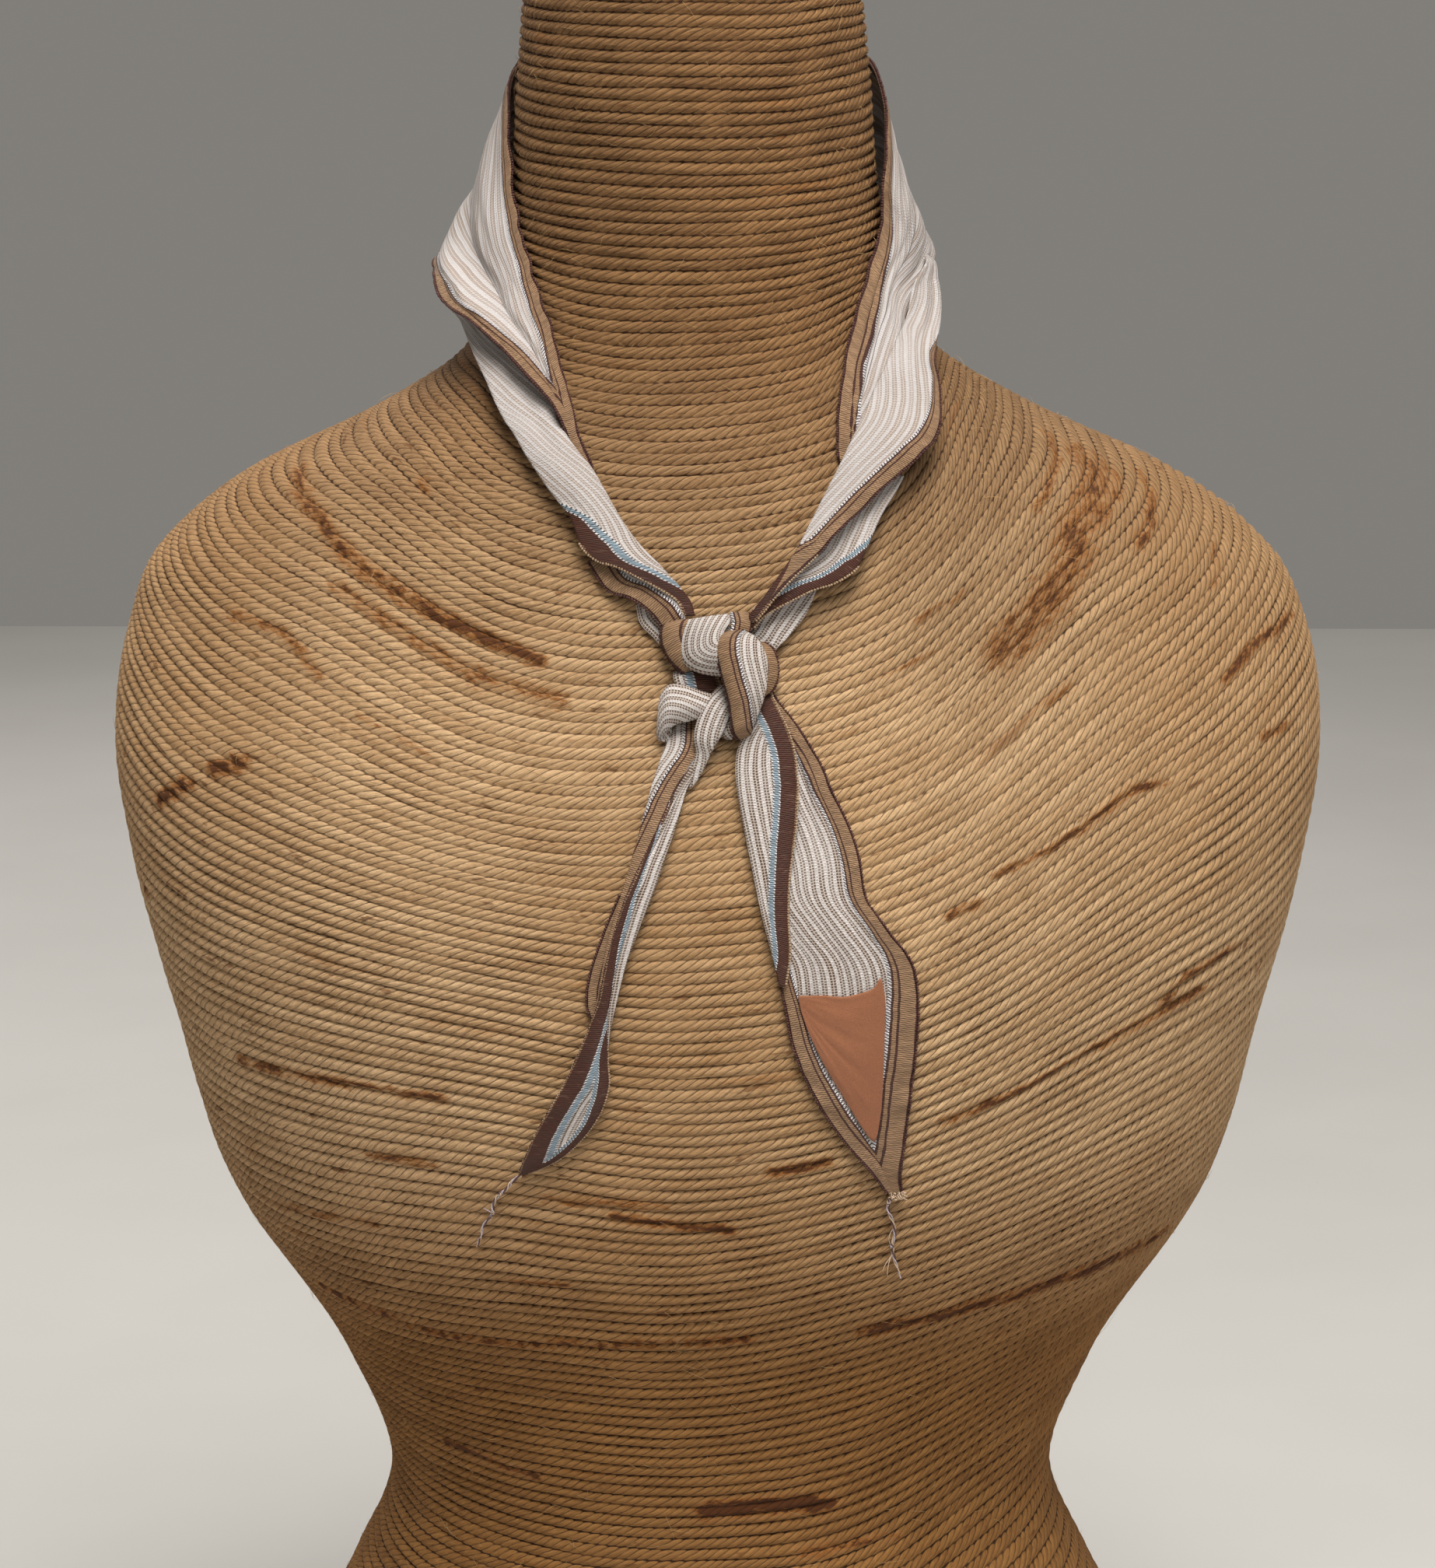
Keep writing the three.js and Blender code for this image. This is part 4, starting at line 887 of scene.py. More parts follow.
@dataclass(frozen=True)
class Lane:
    """One lengthwise lane of cloth and its place on the strip.

    Attributes:
        near: how far in from a stitched edge its near side lies, in millimetres.
        far: the same for its far side.
        face: the face that looks outward.
        start: share of the section where the lane begins; it ends where the next begins.
        stripes: the side that its stripes are counted from.
        shift: millimetres that its stripes have moved across, which slants them.
        near_spread: how many times wider than usual the near bands are.
        far_spread: the same for the far bands.
        turned: the row from which the other face shows, later towards the far side.
        raise_by: millimetres that it stands above the lane before it.
        valley: share across at which stripes counted from both sides meet.
    """

    near: Run = 20.0
    far: Run = 20.0
    face: Face = REVERSE
    start: Run = 0.0
    stripes: StripesFrom = StripesFrom.NEAR
    shift: Run = 0.0
    near_spread: Run = 1.0
    far_spread: Run = 1.0
    turned: float = 99.0
    raise_by: float = 0.0
    valley: float = 0.55

    def edge(self, row: Array, before: Array, after: Array) -> Array:
        """Distance in from the nearer stitched edge: (near or far + distance) / spread.

        Args:
            row: row of each point in the stretch's table.
            before: millimetres from the lane's near side.
            after: millimetres to the lane's far side.

        Returns:
            Millimetres.
        """
        from_near = (run_at(self.near, row) + before) / run_at(self.near_spread, row)
        from_far = (run_at(self.far, row) + after) / run_at(self.far_spread, row)
        return np.maximum(np.minimum(from_near, from_far), 0)

    def stripe(self, row: Array, before: Array, after: Array) -> Array:
        """Millimetres across the stripes, counted from the side that the lane names."""
        near, far = before + run_at(self.shift, row), 200 - after + run_at(self.shift, row)
        share = before / np.maximum(before + after, 1e-6)
        middle = {StripesFrom.NEAR: np.inf, FAR: -np.inf, BOTH: self.valley}[self.stripes]
        return np.where(share < middle, near, far)


@dataclass(frozen=True)
class Stretch:
    """A stretch of the strip as a thin slab through a table of sections.

    A section's middle line runs straight from its near edge to its far edge in side, height and
    gap, swollen by crown (1 - (2 s - 1)^2)^bulge and dipped by the crease. Soft folds run
    lengthwise, stitched edges wave, and the overlocked band stands a little proud of the cloth.
    Rows are spaced twice as far apart between the two coarse rows, and nodes names the solids
    that the piece stands for where it isn't one of the same name.
    """

    name: str
    sections: Table
    lanes: tuple[Lane, ...]
    seed: int
    step: float = 0.8
    across: float = 0.55
    wall: float = 0.9
    lift: float = 0.32
    folds: float = 0.35
    wave: float = 0.35
    bulge: float = 1.0
    coarse: tuple[float, float] = (99.0, 99.0)
    slot: str = "striped_cotton"
    nodes: tuple[str, ...] = ()

    def place(self, row: Array, share: Array) -> Array:
        """Side, height and gap of the middle line.

        Args:
            row: rows of the table, between them too.
            share: shares across, in a shape that fits the rows'.

        Returns:
            An array (3, ...).
        """
        count = len(self.sections["crown"])
        rows = np.clip(row, 0, count - 1)
        got = {k: smooth_curve(np.arange(count), v)(rows) for k, v in self.sections.items()}
        blend = [got[f"near_{k}"] + (got[f"far_{k}"] - got[f"near_{k}"]) * share
                 for k in ("side", "height", "gap")]
        hump = np.clip(1 - (2 * share - 1) ** 2, 0, 1)
        blend[2] = blend[2] + got["crown"] * hump ** self.bulge
        if "crease" in got:
            valley = np.exp(-(((share - 0.55) / 0.13) ** 2))
            ridge = np.exp(-(((share - 0.76) / 0.1) ** 2))
            blend[2] = blend[2] - got["crease"] * (valley - 0.7 * ridge)
        return np.stack(np.broadcast_arrays(*blend))

    def rows(self, form: DressForm) -> Array:
        """Rows about a step apart, in the order in which the grid's normals point outwards.

        Args:
            form: the dress form.

        Returns:
            Places in the table.
        """
        fine = np.linspace(0, len(self.sections["crown"]) - 1, 800)
        path = form.point(*self.place(fine, np.full(800, 0.5)))
        middle = (fine[1:] + fine[:-1]) / 2
        length = run_length(path, 0, np.where((middle > self.coarse[0])
                                              & (middle < self.coarse[1]), 0.5, 1))
        count = max(int(length[-1] / self.step), 6) + 1
        at = np.interp(np.linspace(0, length[-1], count), length, fine)
        side, height, gap = self.place(at[:, None], np.array([[0.3, 0.7]]))
        low, high = form.point(side, height, 0 * gap), form.point(side, height, gap)
        facing = (grid_normals(high) * (high - low)).sum()
        return at if facing > 0 else at[::-1]

    def columns(self, at: Array, width: Array) -> tuple[Array, Array]:
        """Shares across each row, lane by lane, so that every lane's sides are columns.

        Args:
            at: the rows.
            width: the section's width at each row.

        Returns:
            Shares (rows, columns), and the lane number of each column of points.
        """
        starts = [run_at(one.start, at) for one in self.lanes] + [np.ones(len(at))]
        shares, numbers = [], []
        for number, (low, high) in enumerate(zip(starts, starts[1:])):
            count = int(np.clip(((high - low) * width).max() / self.across, 4, 110)) + 1
            if number < len(self.lanes) - 1:
                high = np.maximum(high - 0.15 / width, low + 0.002)
            shares.append(low[:, None] + (high - low)[:, None] * np.linspace(0, 1, count))
            numbers.append(np.full(count, number))
        return np.concatenate(shares, 1), np.concatenate(numbers)

    def measure(self, kind: str, number: int, row: Array, share: Array, width: Array) -> Array:
        """A lane's edge or stripe distance at points of the stretch.

        Args:
            kind: the lane's method, edge or stripe.
            number: the lane's number.
            row: row of each point.
            share: share across of each point.
            width: width of the section at each point.

        Returns:
            Millimetres.
        """
        low, high = (run_at(one.start if one else 1.0, row)
                     for one in (*self.lanes, None)[number:number + 2])
        return getattr(self.lanes[number], kind)(row, (share - low) * width,
                                                 (high - share) * width)

    def surface(self, form: DressForm) -> "Surface":
        """Works the stretch out on the form.

        Args:
            form: the dress form.

        Returns:
            The grids of points and measures.
        """
        at = self.rows(form)
        probe = form.point(*self.place(at[:, None], np.linspace(0, 1, 9)[None]))
        width = np.linalg.norm(np.diff(probe, axis=1), axis=-1).sum(1)
        share, number = self.columns(at, width)
        row = np.broadcast_to(at[:, None], share.shape)
        wide = np.broadcast_to(width[:, None], share.shape)
        edge = np.concatenate([self.measure("edge", n, *(grid[:, number == n]
                                                         for grid in (row, share, wide)))
                               for n in range(len(self.lanes))], 1)
        side, height, gap = self.place(row, share)
        along = run_length(probe[:, 4])
        gap = np.maximum(gap + self.relief(share, along, width, edge), self.wall / 2 + 0.3)
        points = form.point(side, height, gap)
        return Surface(self, points, grid_normals(points), row, share, wide, edge,
                       np.broadcast_to(along[:, None], share.shape), number)

    def relief(self, share: Array, along: Array, width: Array, edge: Array) -> Array:
        """Soft folds and edge waves as extra gap: noise drawn out lengthwise.

        Args:
            share: shares across.
            along: length along the stretch of each row.
            width: width of each row.
            edge: distance from the stitched edge.

        Returns:
            Millimetres to add to the gap.
        """
        shape, long, wide = share.shape, along[-1], width.max()
        soft, fine = (smooth_noise(shape, (long / down + 1, max(wide / over, least)), seed)
                      for (down, over), least, seed in ((SOFT_FOLD, 1.5, self.seed),
                                                        (FINE_FOLD, 2, self.seed + 1)))
        ripple = smooth_noise((shape[0], 2), (long / WAVE + 1, 1), self.seed + 2)[:, :1]
        room = np.clip(width / 8, 0.15, 1)[:, None]
        ends = np.clip(np.minimum(along, long - along) / END_FADE, 0, 1)[:, None]
        made = self.folds * room * np.clip(edge / 9, 0.25, 1) * (soft + 0.35 * fine)
        return ends * (made + self.wave * room * ripple * np.exp(-edge / WAVE_REACH))


@dataclass(frozen=True)
class Surface:
    """A stretch worked out as grids: points, normals and measures, and each column's lane."""

    stretch: Stretch
    points: Array
    normal: Array
    row: Array
    share: Array
    width: Array
    edge: Array
    along: Array
    number: Array

    def lane_values(self, key: str, number: Array) -> Array:
        """A number that every lane has, at each of the lane numbers."""
        return np.array([getattr(one, key) for one in self.stretch.lanes])[number]

    def corners(self, quads: Array, number: Array) -> tuple[Array, Array]:
        """Both UV maps, in centimetres, at faces' corners as their own lanes see them.

        Args:
            quads: point numbers of the faces' corners, (faces, 4).
            number: each face's lane number.

        Returns:
            The weave map and the edging map, each (faces, 4, 2).
        """
        *got, along = (getattr(self, k).ravel()[quads] for k in ("row", "share", "width", "along"))
        maps = []
        for kind in ("stripe", "edge"):
            value = np.zeros(quads.shape)
            for n in range(len(self.stretch.lanes)):
                at = number == n
                value[at] = self.stretch.measure(kind, n, *(g[at] for g in got))
            maps.append(np.stack([value, along], -1) / 10)
        return maps[0], maps[1]

    def offsets(self) -> tuple[Array, Array]:
        """How far the outer and the inner face stand from the middle line.

        Half the wall, more over the stitched band, less at the very edge so that it is round,
        and a step where a lane lies over the one before it.

        Returns:
            Two grids of millimetres.
        """
        half, lift = self.stretch.wall / 2, self.stretch.lift
        proud = np.clip((BAND_WIDTH - self.edge) / BAND_SLOPE, 0, 1)
        proud = proud * proud * (3 - 2 * proud)
        groove = np.exp(-(((self.edge - GROOVE_AT) / GROOVE_WIDTH) ** 2))
        end = np.minimum(self.share, 1 - self.share) * self.width
        rounded = np.sqrt(np.clip(1 - (1 - np.clip(end / ROUND_END, 0, 1)) ** 2, 0.12, 1))
        low = np.stack([run_at(one.start, self.row[:, 0]) for one in self.stretch.lanes], 1)
        past = np.clip((self.share - low[:, self.number]) * self.width, 0, None)
        step = self.lane_values("raise_by", self.number) * np.exp(-past / LAP)
        outer = (half + lift * (proud - 0.4 * groove)) * rounded + step
        return outer, (half + 0.3 * lift * proud) * rounded

    def rim(self) -> tuple[Array, Array]:
        """The slab's rim.

        Returns:
            Quads that close the slab all round, and each one's lane number.
        """
        rows, columns = self.row.shape
        index = np.arange(rows * columns).reshape(rows, columns)
        loop = np.concatenate([index[0, ::-1], index[1:, 0], index[-1, 1:], index[-2:0:-1, -1]])
        after, count = np.roll(loop, -1), rows * columns
        rim = np.stack([after, loop, loop + count, after + count], 1)
        return rim, self.number[np.minimum(loop % columns, after % columns)]

    def build(self) -> Object:
        """Makes the closed slab: outer face, inner face and a rim.

        Returns:
            The piece; its materials are the front and the reverse of the cloth.
        """
        outer, inner = (way * offset[..., None] for way, offset in zip((1, -1), self.offsets()))
        points = np.concatenate([(self.points + outer * self.normal).reshape(-1, 3),
                                 (self.points + inner * self.normal).reshape(-1, 3)])
        rows, columns = self.row.shape
        count, quads = rows * columns, grid_quads(rows, columns)
        number = np.tile(self.number[:-1], rows - 1)
        corners = self.corners(quads, number)
        middle = self.row.ravel()[quads].mean(1) - 1.6 * self.share.ravel()[quads].mean(1)
        face = np.array([one.face.value for one in self.stretch.lanes])[number]
        face = np.where(middle > self.lane_values("turned", number), 1 - face, face)
        groups, parts, maps = [], [], ([], [])
        for which in (0, 1):
            at = face == which
            groups += [quads[at], quads[at][:, ::-1] + count]
            parts += [which, 1 - which]
            for made, value in zip(maps, corners):
                made += [value[at], value[at][:, ::-1]]
        rim, rim_number = self.rim()
        for made, value in zip(maps, self.corners(rim % count, rim_number)):
            made.append(value)
        return make_mesh(f"{self.stretch.name}_cloth", points, [*groups, rim],
                         maps=dict(zip(("weave", "edging"), maps)),
                         parts=[*parts, int(face[0])])

    def flat(self) -> tuple[tuple[float, float], float]:
        """The cut of this stretch: its longest lines across and along, and its area.

        The label's lines run slantwise, so its cut is stated larger than the patch itself.

        Returns:
            (width, length) in metres, and square metres.
        """
        across = np.linalg.norm(np.diff(self.points, axis=1), axis=-1).sum(1)
        lengthwise = np.linalg.norm(np.diff(self.points, axis=0), axis=-1).sum(0)
        quads = self.points.reshape(-1, 3)[grid_quads(*self.row.shape)]
        diagonals = np.cross(quads[:, 2] - quads[:, 0], quads[:, 3] - quads[:, 1])
        area = np.linalg.norm(diagonals, axis=1).sum() / 2 * MM * MM
        width, length = (max(size.max() * MM, LEAST_SIDE) for size in (across, lengthwise))
        whole = width * length
        return (width, length), float(np.clip(area, LEAST_FILL * whole, whole))


@dataclass(frozen=True)
class Finishes:
    """The materials that the scarf's pieces share."""

    front: Material
    reverse: Material
    suede: Material


@dataclass(frozen=True)
class StripPart:
    """A part of the scarf made of stretches that lie on the form or on each other."""

    stretches: tuple[Stretch, ...] = ()
    rests_on: tuple[str, ...] = ("twine_middle", "twine_upper")

    def build(self, form: DressForm, finishes: Finishes) -> list[Surface]:
        """Builds and dresses every stretch.

        Args:
            form: the dress form.
            finishes: the cloth's and the label's materials.

        Returns:
            The stretches' surfaces.
        """
        made = [stretch.surface(form) for stretch in self.stretches]
        for stretch, surface in zip(self.stretches, made):
            piece = surface.build()
            faces = ((finishes.suede,) * 2 if stretch.slot == "suede_label"
                     else (finishes.front, finishes.reverse))
            dress(piece, stretch.slot, *faces)
            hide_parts(*(stretch.nodes or (stretch.name,)))
            size, area = surface.flat()
            list(self.rests_on)
        return made


@dataclass(frozen=True)
class NeckBand(StripPart):
    """The band that climbs from the knot round the nape and down to the knot again."""

    stretches: tuple[Stretch, ...] = (
        Stretch("neck_band", NECK_BAND, (Lane(
            0, ((15, 0), (17, 12), (18, 20)), stripes=BOTH,
            near_spread=((0, 0.5), (3, 0.55), (6, 0.52), (9, 0.4), (11, 0.5), (15, 0.4),
                         (17, 0.45), (19, 0.72), (21, 0.85), (25, 0.8)),
            far_spread=((0, 0.5), (6, 0.55), (9, 0.5), (11, 0.6))),), 11,
            step=1.1, across=0.85, folds=0.5, wave=0.6, coarse=(9.6, 16.6),
            nodes=("scarf_left_upper", "scarf_nape", "scarf_right_inner")),
    )


@dataclass(frozen=True)
class FrontStretches(StripPart):
    """The ribbons over the breast that lead into the knot."""

    stretches: tuple[Stretch, ...] = (
        Stretch("scarf_left_lower", LEFT_LOWER, (Lane(
            ((8, 20), (9, 11), (10, 4), (11, 0)), 20, FRONT,
            near_spread=((9, 0.95), (11, 1.2), (13, 1.3)),
            shift=((0, 0), (2, -8), (5, -21), (9, -33), (10.5, -34))),), 41, folds=0.5),
        Stretch("scarf_left_under", LEFT_UNDER, (Lane(0, 30, near_spread=0.7),), 51,
                folds=0.6, wave=0.7),
        Stretch("scarf_left_sliver", LEFT_SLIVER, (Lane(),), 61, wall=0.7),
        Stretch("scarf_right_outer", RIGHT_OUTER, (Lane(
            20, ((0, 12), (3, 3), (4, 0)), stripes=FAR, turned=12.0,
            far_spread=((4, 0.2), (5, 0.22), (6, 0.35), (7, 0.5), (8, 0.62), (11.5, 0.62),
                        (12.4, 1.5))),), 71, folds=0.5, wave=0.7),
        Stretch("scarf_right_middle", RIGHT_MIDDLE, (Lane(
            20, ((0, 10), (1, 8), (2, 4), (3, 0)), FRONT, stripes=FAR, far_spread=0.6),), 81,
            wave=0.6),
        Stretch("scarf_right_lower", RIGHT_LOWER, (Lane(face=FRONT),), 91),
    )


@dataclass(frozen=True)
class Knot(StripPart):
    """The knot's lobes, loops and turns, round a wad of the same cloth."""

    stretches: tuple[Stretch, ...] = tuple(
        Stretch(f"knot_{name}", sections, (one,), seed, step=0.5, across=0.4, folds=0.3,
                wave=0.2, bulge=0.62)
        for name, sections, one, seed in (
            ("upper_lobe", UPPER_LOBE, Lane(), 101),
            ("front_loop", FRONT_LOOP, Lane(0, 30, near_spread=0.78), 111),
            ("right_loop", RIGHT_LOOP, Lane(20, 0, far_spread=0.6), 121),
            ("top_turn", TOP_TURN, Lane(20, 0, far_spread=0.62), 131),
            ("left_turn", LEFT_TURN, Lane(0, 30, near_spread=1.1), 141),
            ("lower_lobe", LOWER_LOBE, Lane(), 151),
            ("lower_turn", LOWER_TURN, Lane(20, 0, FRONT), 161),
            ("centre_strand", CENTRE_STRAND, Lane(), 171),
            ("small_curl", SMALL_CURL, Lane(), 181)))
    rests_on: tuple[str, ...] = ("twine_middle", "knot_wad")
    place: tuple[float, float, float] = (4.2, 479.5, 4.8)
    radii: tuple[float, float, float] = (5.4, 3.9, 8.2)
    ripple: float = 0.02
    lobes: int = 5
    rings: int = 41
    columns: int = 60

    def build(self, form: DressForm, finishes: Finishes) -> list[Surface]:
        """Builds the wad and then the stretches round it."""
        self.build_wad(form, finishes)
        return super().build(form, finishes)

    def build_wad(self, form: DressForm, finishes: Finishes) -> None:
        """Makes the wad: a ball swollen by slow ripples, with stripes down its sides.

        Args:
            form: the dress form.
            finishes: the cloth's materials.
        """
        polar = np.linspace(0.02, np.pi - 0.02, self.rings)[:, None]
        turn = np.linspace(0, 2 * np.pi, self.columns, endpoint=False)[None]
        ripple = 1 + self.ripple * np.sin(self.lobes * turn) * np.sin(polar) ** 2
        ball = np.stack([np.sin(polar) * np.cos(turn) * ripple,
                         np.sin(polar) * np.sin(turn) * ripple,
                         np.cos(polar) + 0 * turn], -1)
        centre = form.point(*(np.array(v) for v in self.place))
        points = (centre + ball * np.array(self.radii)).reshape(-1, 3)
        cap = np.arange(self.columns)[None]
        groups = [grid_quads(self.rings, self.columns, closed=True), cap,
                  (cap + (self.rings - 1) * self.columns)[:, ::-1]]
        spread = np.stack([turn * 0.5 + 0 * polar, polar * 0.8 + 0 * turn], -1).reshape(-1, 2)
        maps = {"weave": [spread[g] for g in groups],
                "edging": [np.where([True, False], 2.0, spread[g]) for g in groups]}
        piece = make_mesh("knot_wad", points, groups, maps=maps)
        dress(piece, "striped_cotton", finishes.reverse)
        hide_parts("knot_core")


@dataclass(frozen=True)
class Tails(StripPart):
    """The two hanging tails and the bare suede label near the right tip."""

    stretches: tuple[Stretch, ...] = (
        Stretch("tail_left", TAIL_LEFT, (
            Lane(30, 0, stripes=FAR, far_spread=0.62),
            Lane(0, ((9.5, 2), (11, 0)), FRONT,
                 ((0, 0.93), (1.5, 0.87), (3, 0.72), (4, 0.56), (5, 0.38), (6, 0.22), (9, 0.2),
                  (10, 0.1), (11, 0.01)),
                 near_spread=((0, 0.01), (3.5, 0.02), (4, 0.06), (5, 0.2), (6, 0.31), (9, 0.46),
                              (10, 0.58), (12, 0.9)),
                 far_spread=((9, 0.05), (12, 0.5)), raise_by=0.3),
            Lane(20, 20, FRONT,
                 ((0, 0.99), (1.5, 0.95), (3, 0.86), (4, 0.74), (5, 0.62), (6, 0.58), (9, 0.66),
                  (10, 0.8), (11, 0.985)), shift=3)), 191, wave=0.5),
        Stretch("tail_left_flap", TAIL_LEFT_FLAP, (Lane(0, 10, near_spread=0.5),), 201),
        Stretch("tail_right", TAIL_RIGHT, (Lane(
            ((6, 20), (7, 10), (8, 4), (9, 1), (10, 0)), 0, stripes=FAR,
            near_spread=((8, 0.4), (10, 0.52), (12, 0.78), (15, 0.8)),
            far_spread=((0, 0.5), (4, 0.58), (6, 0.55), (7, 0.5), (8, 0.55), (9, 0.74),
                        (10, 0.88), (12, 0.95))),), 211, across=0.7, folds=0.6, wave=1.0),
        Stretch("tail_right_fold", TAIL_RIGHT_FOLD, (Lane(
            20, 0, FRONT, far_spread=((0, 0.6), (1, 0.75), (5, 0.75), (7, 0.6), (9, 0.5))),),
            221, wave=0.7),
        Stretch("tail_label", TAIL_LABEL, (Lane(),), 231, across=0.6, wall=0.7, lift=0.0,
                folds=0.25, slot="suede_label"),
    )


@dataclass
class EdgeStitches:
    """Beads of thread along every stitched edge, where the overlock loops turn over it.

    Each bead is spacing times twice its reach long, set out from the cloth by raised and past
    the edge by outward, and shifted along by a chance share of uneven. Sizes are in millimetres.
    """

    spacing: float = 0.9
    reach: float = 0.44
    radii: tuple[float, ...] = (0.18, 0.48, 0.18)
    raised: float = 0.5
    outward: float = 0.12
    uneven: float = 0.06
    margin: float = 0.6
    seed: int = 301

    def __post_init__(self) -> None:
        """Starts without beads."""
        self.rng = np.random.default_rng(self.seed)
        self.tubes: dict[Face, list[tuple[Array, Array, Array]]] = {FRONT: [], REVERSE: []}

    def follow(self, surface: Surface) -> None:
        """Adds the beads of a stretch: short tubes along the sides of lanes that are edges.

        Args:
            surface: the stretch's grids.
        """
        for number, lane in enumerate(surface.stretch.lanes):
            columns = np.flatnonzero(surface.number == number)
            for column, inward, run in ((columns[0], 1, lane.near), (columns[-1], -1, lane.far)):
                line, normal = surface.points[:, column], surface.normal[:, column]
                length = run_length(line)
                at = np.arange(self.margin, length[-1] - self.margin, self.spacing)
                rows = np.interp(at, length, surface.row[:, column])
                kept = run_at(run, rows) < 0.5
                if not kept.any():
                    continue
                turned = rows[kept] > lane.turned
                at = at[kept] + self.rng.normal(0, self.uneven, kept.sum())
                aside = unit(line - surface.points[:, column + inward])
                middle = line + self.raised * normal + self.outward * aside
                for over, face in ((False, lane.face), (True, Face(1 - lane.face.value))):
                    self.add(middle, normal, length, at[turned == over], face)

    def add(self, middle: Array, normal: Array, length: Array, at: Array, face: Face) -> None:
        """Keeps the tubes of beads along a line.

        Args:
            middle: the line.
            normal: its normals.
            length: length along it of each point.
            at: lengths at which beads sit.
            face: the face whose thread they are.
        """
        here = at[:, None] + np.array([-self.reach, 0.0, self.reach]) * self.spacing
        line, out = (np.stack([np.interp(here, length, grid[:, k]) for k in range(3)], -1)
                     for grid in (middle, normal))
        radius = np.array(self.radii) * self.rng.uniform(0.82, 1.18, (len(at), 1))
        self.tubes[face].append((line, radius, unit(out)))

    def build(self, tan: Material, brown: Material) -> None:
        """Makes one piece of the tan beads and one of the dark ones."""
        for face, tone, material in ((FRONT, "tan", tan), (REVERSE, "dark", brown)):
            parts = [np.concatenate(part) for part in zip(*self.tubes[face])]
            dress(make_mesh(f"edge_stitches_{tone}", *tubes(*parts, 5)), "overlock_edge", material)


# ---- shader nodes ----


class Signal:
    """A node's output; arithmetic on it adds Math nodes to the same tree."""

    def __init__(self, bench: "Bench", socket: NodeSocket) -> None:
        """Holds the socket, and the bench that it is on."""
        self.bench, self.socket = bench, socket

    def math(self, operation: str, *others: object) -> "Signal":
        """A Math node of this signal and the others."""
        return self.bench.math(operation, self, *others)

    # Arithmetic with a number or a signal on its right adds the Math node of its kind.
    __add__ = partialmethod(math, "ADD")
    __sub__ = partialmethod(math, "SUBTRACT")
    __mul__ = partialmethod(math, "MULTIPLY")
    __truediv__ = partialmethod(math, "DIVIDE")

    def __rsub__(self, number: float) -> "Signal":
        """A number less this signal."""
        return self.bench.math("SUBTRACT", number, self)

    def wave(self) -> "Signal":
        """Rounded lobes, one to each whole number: |sin(pi x)|."""
        return (self * np.pi).math("SINE").math("ABSOLUTE")

    def ease(self, low: float, high: float, start: float = 0, end: float = 1) -> "Signal":
        """A smooth step from start to end as the signal goes from low to high."""
        feeds = dict(enumerate((self, low, high, start, end)))
        return self.bench.add("ShaderNodeMapRange", feeds, interpolation_type="SMOOTHSTEP")


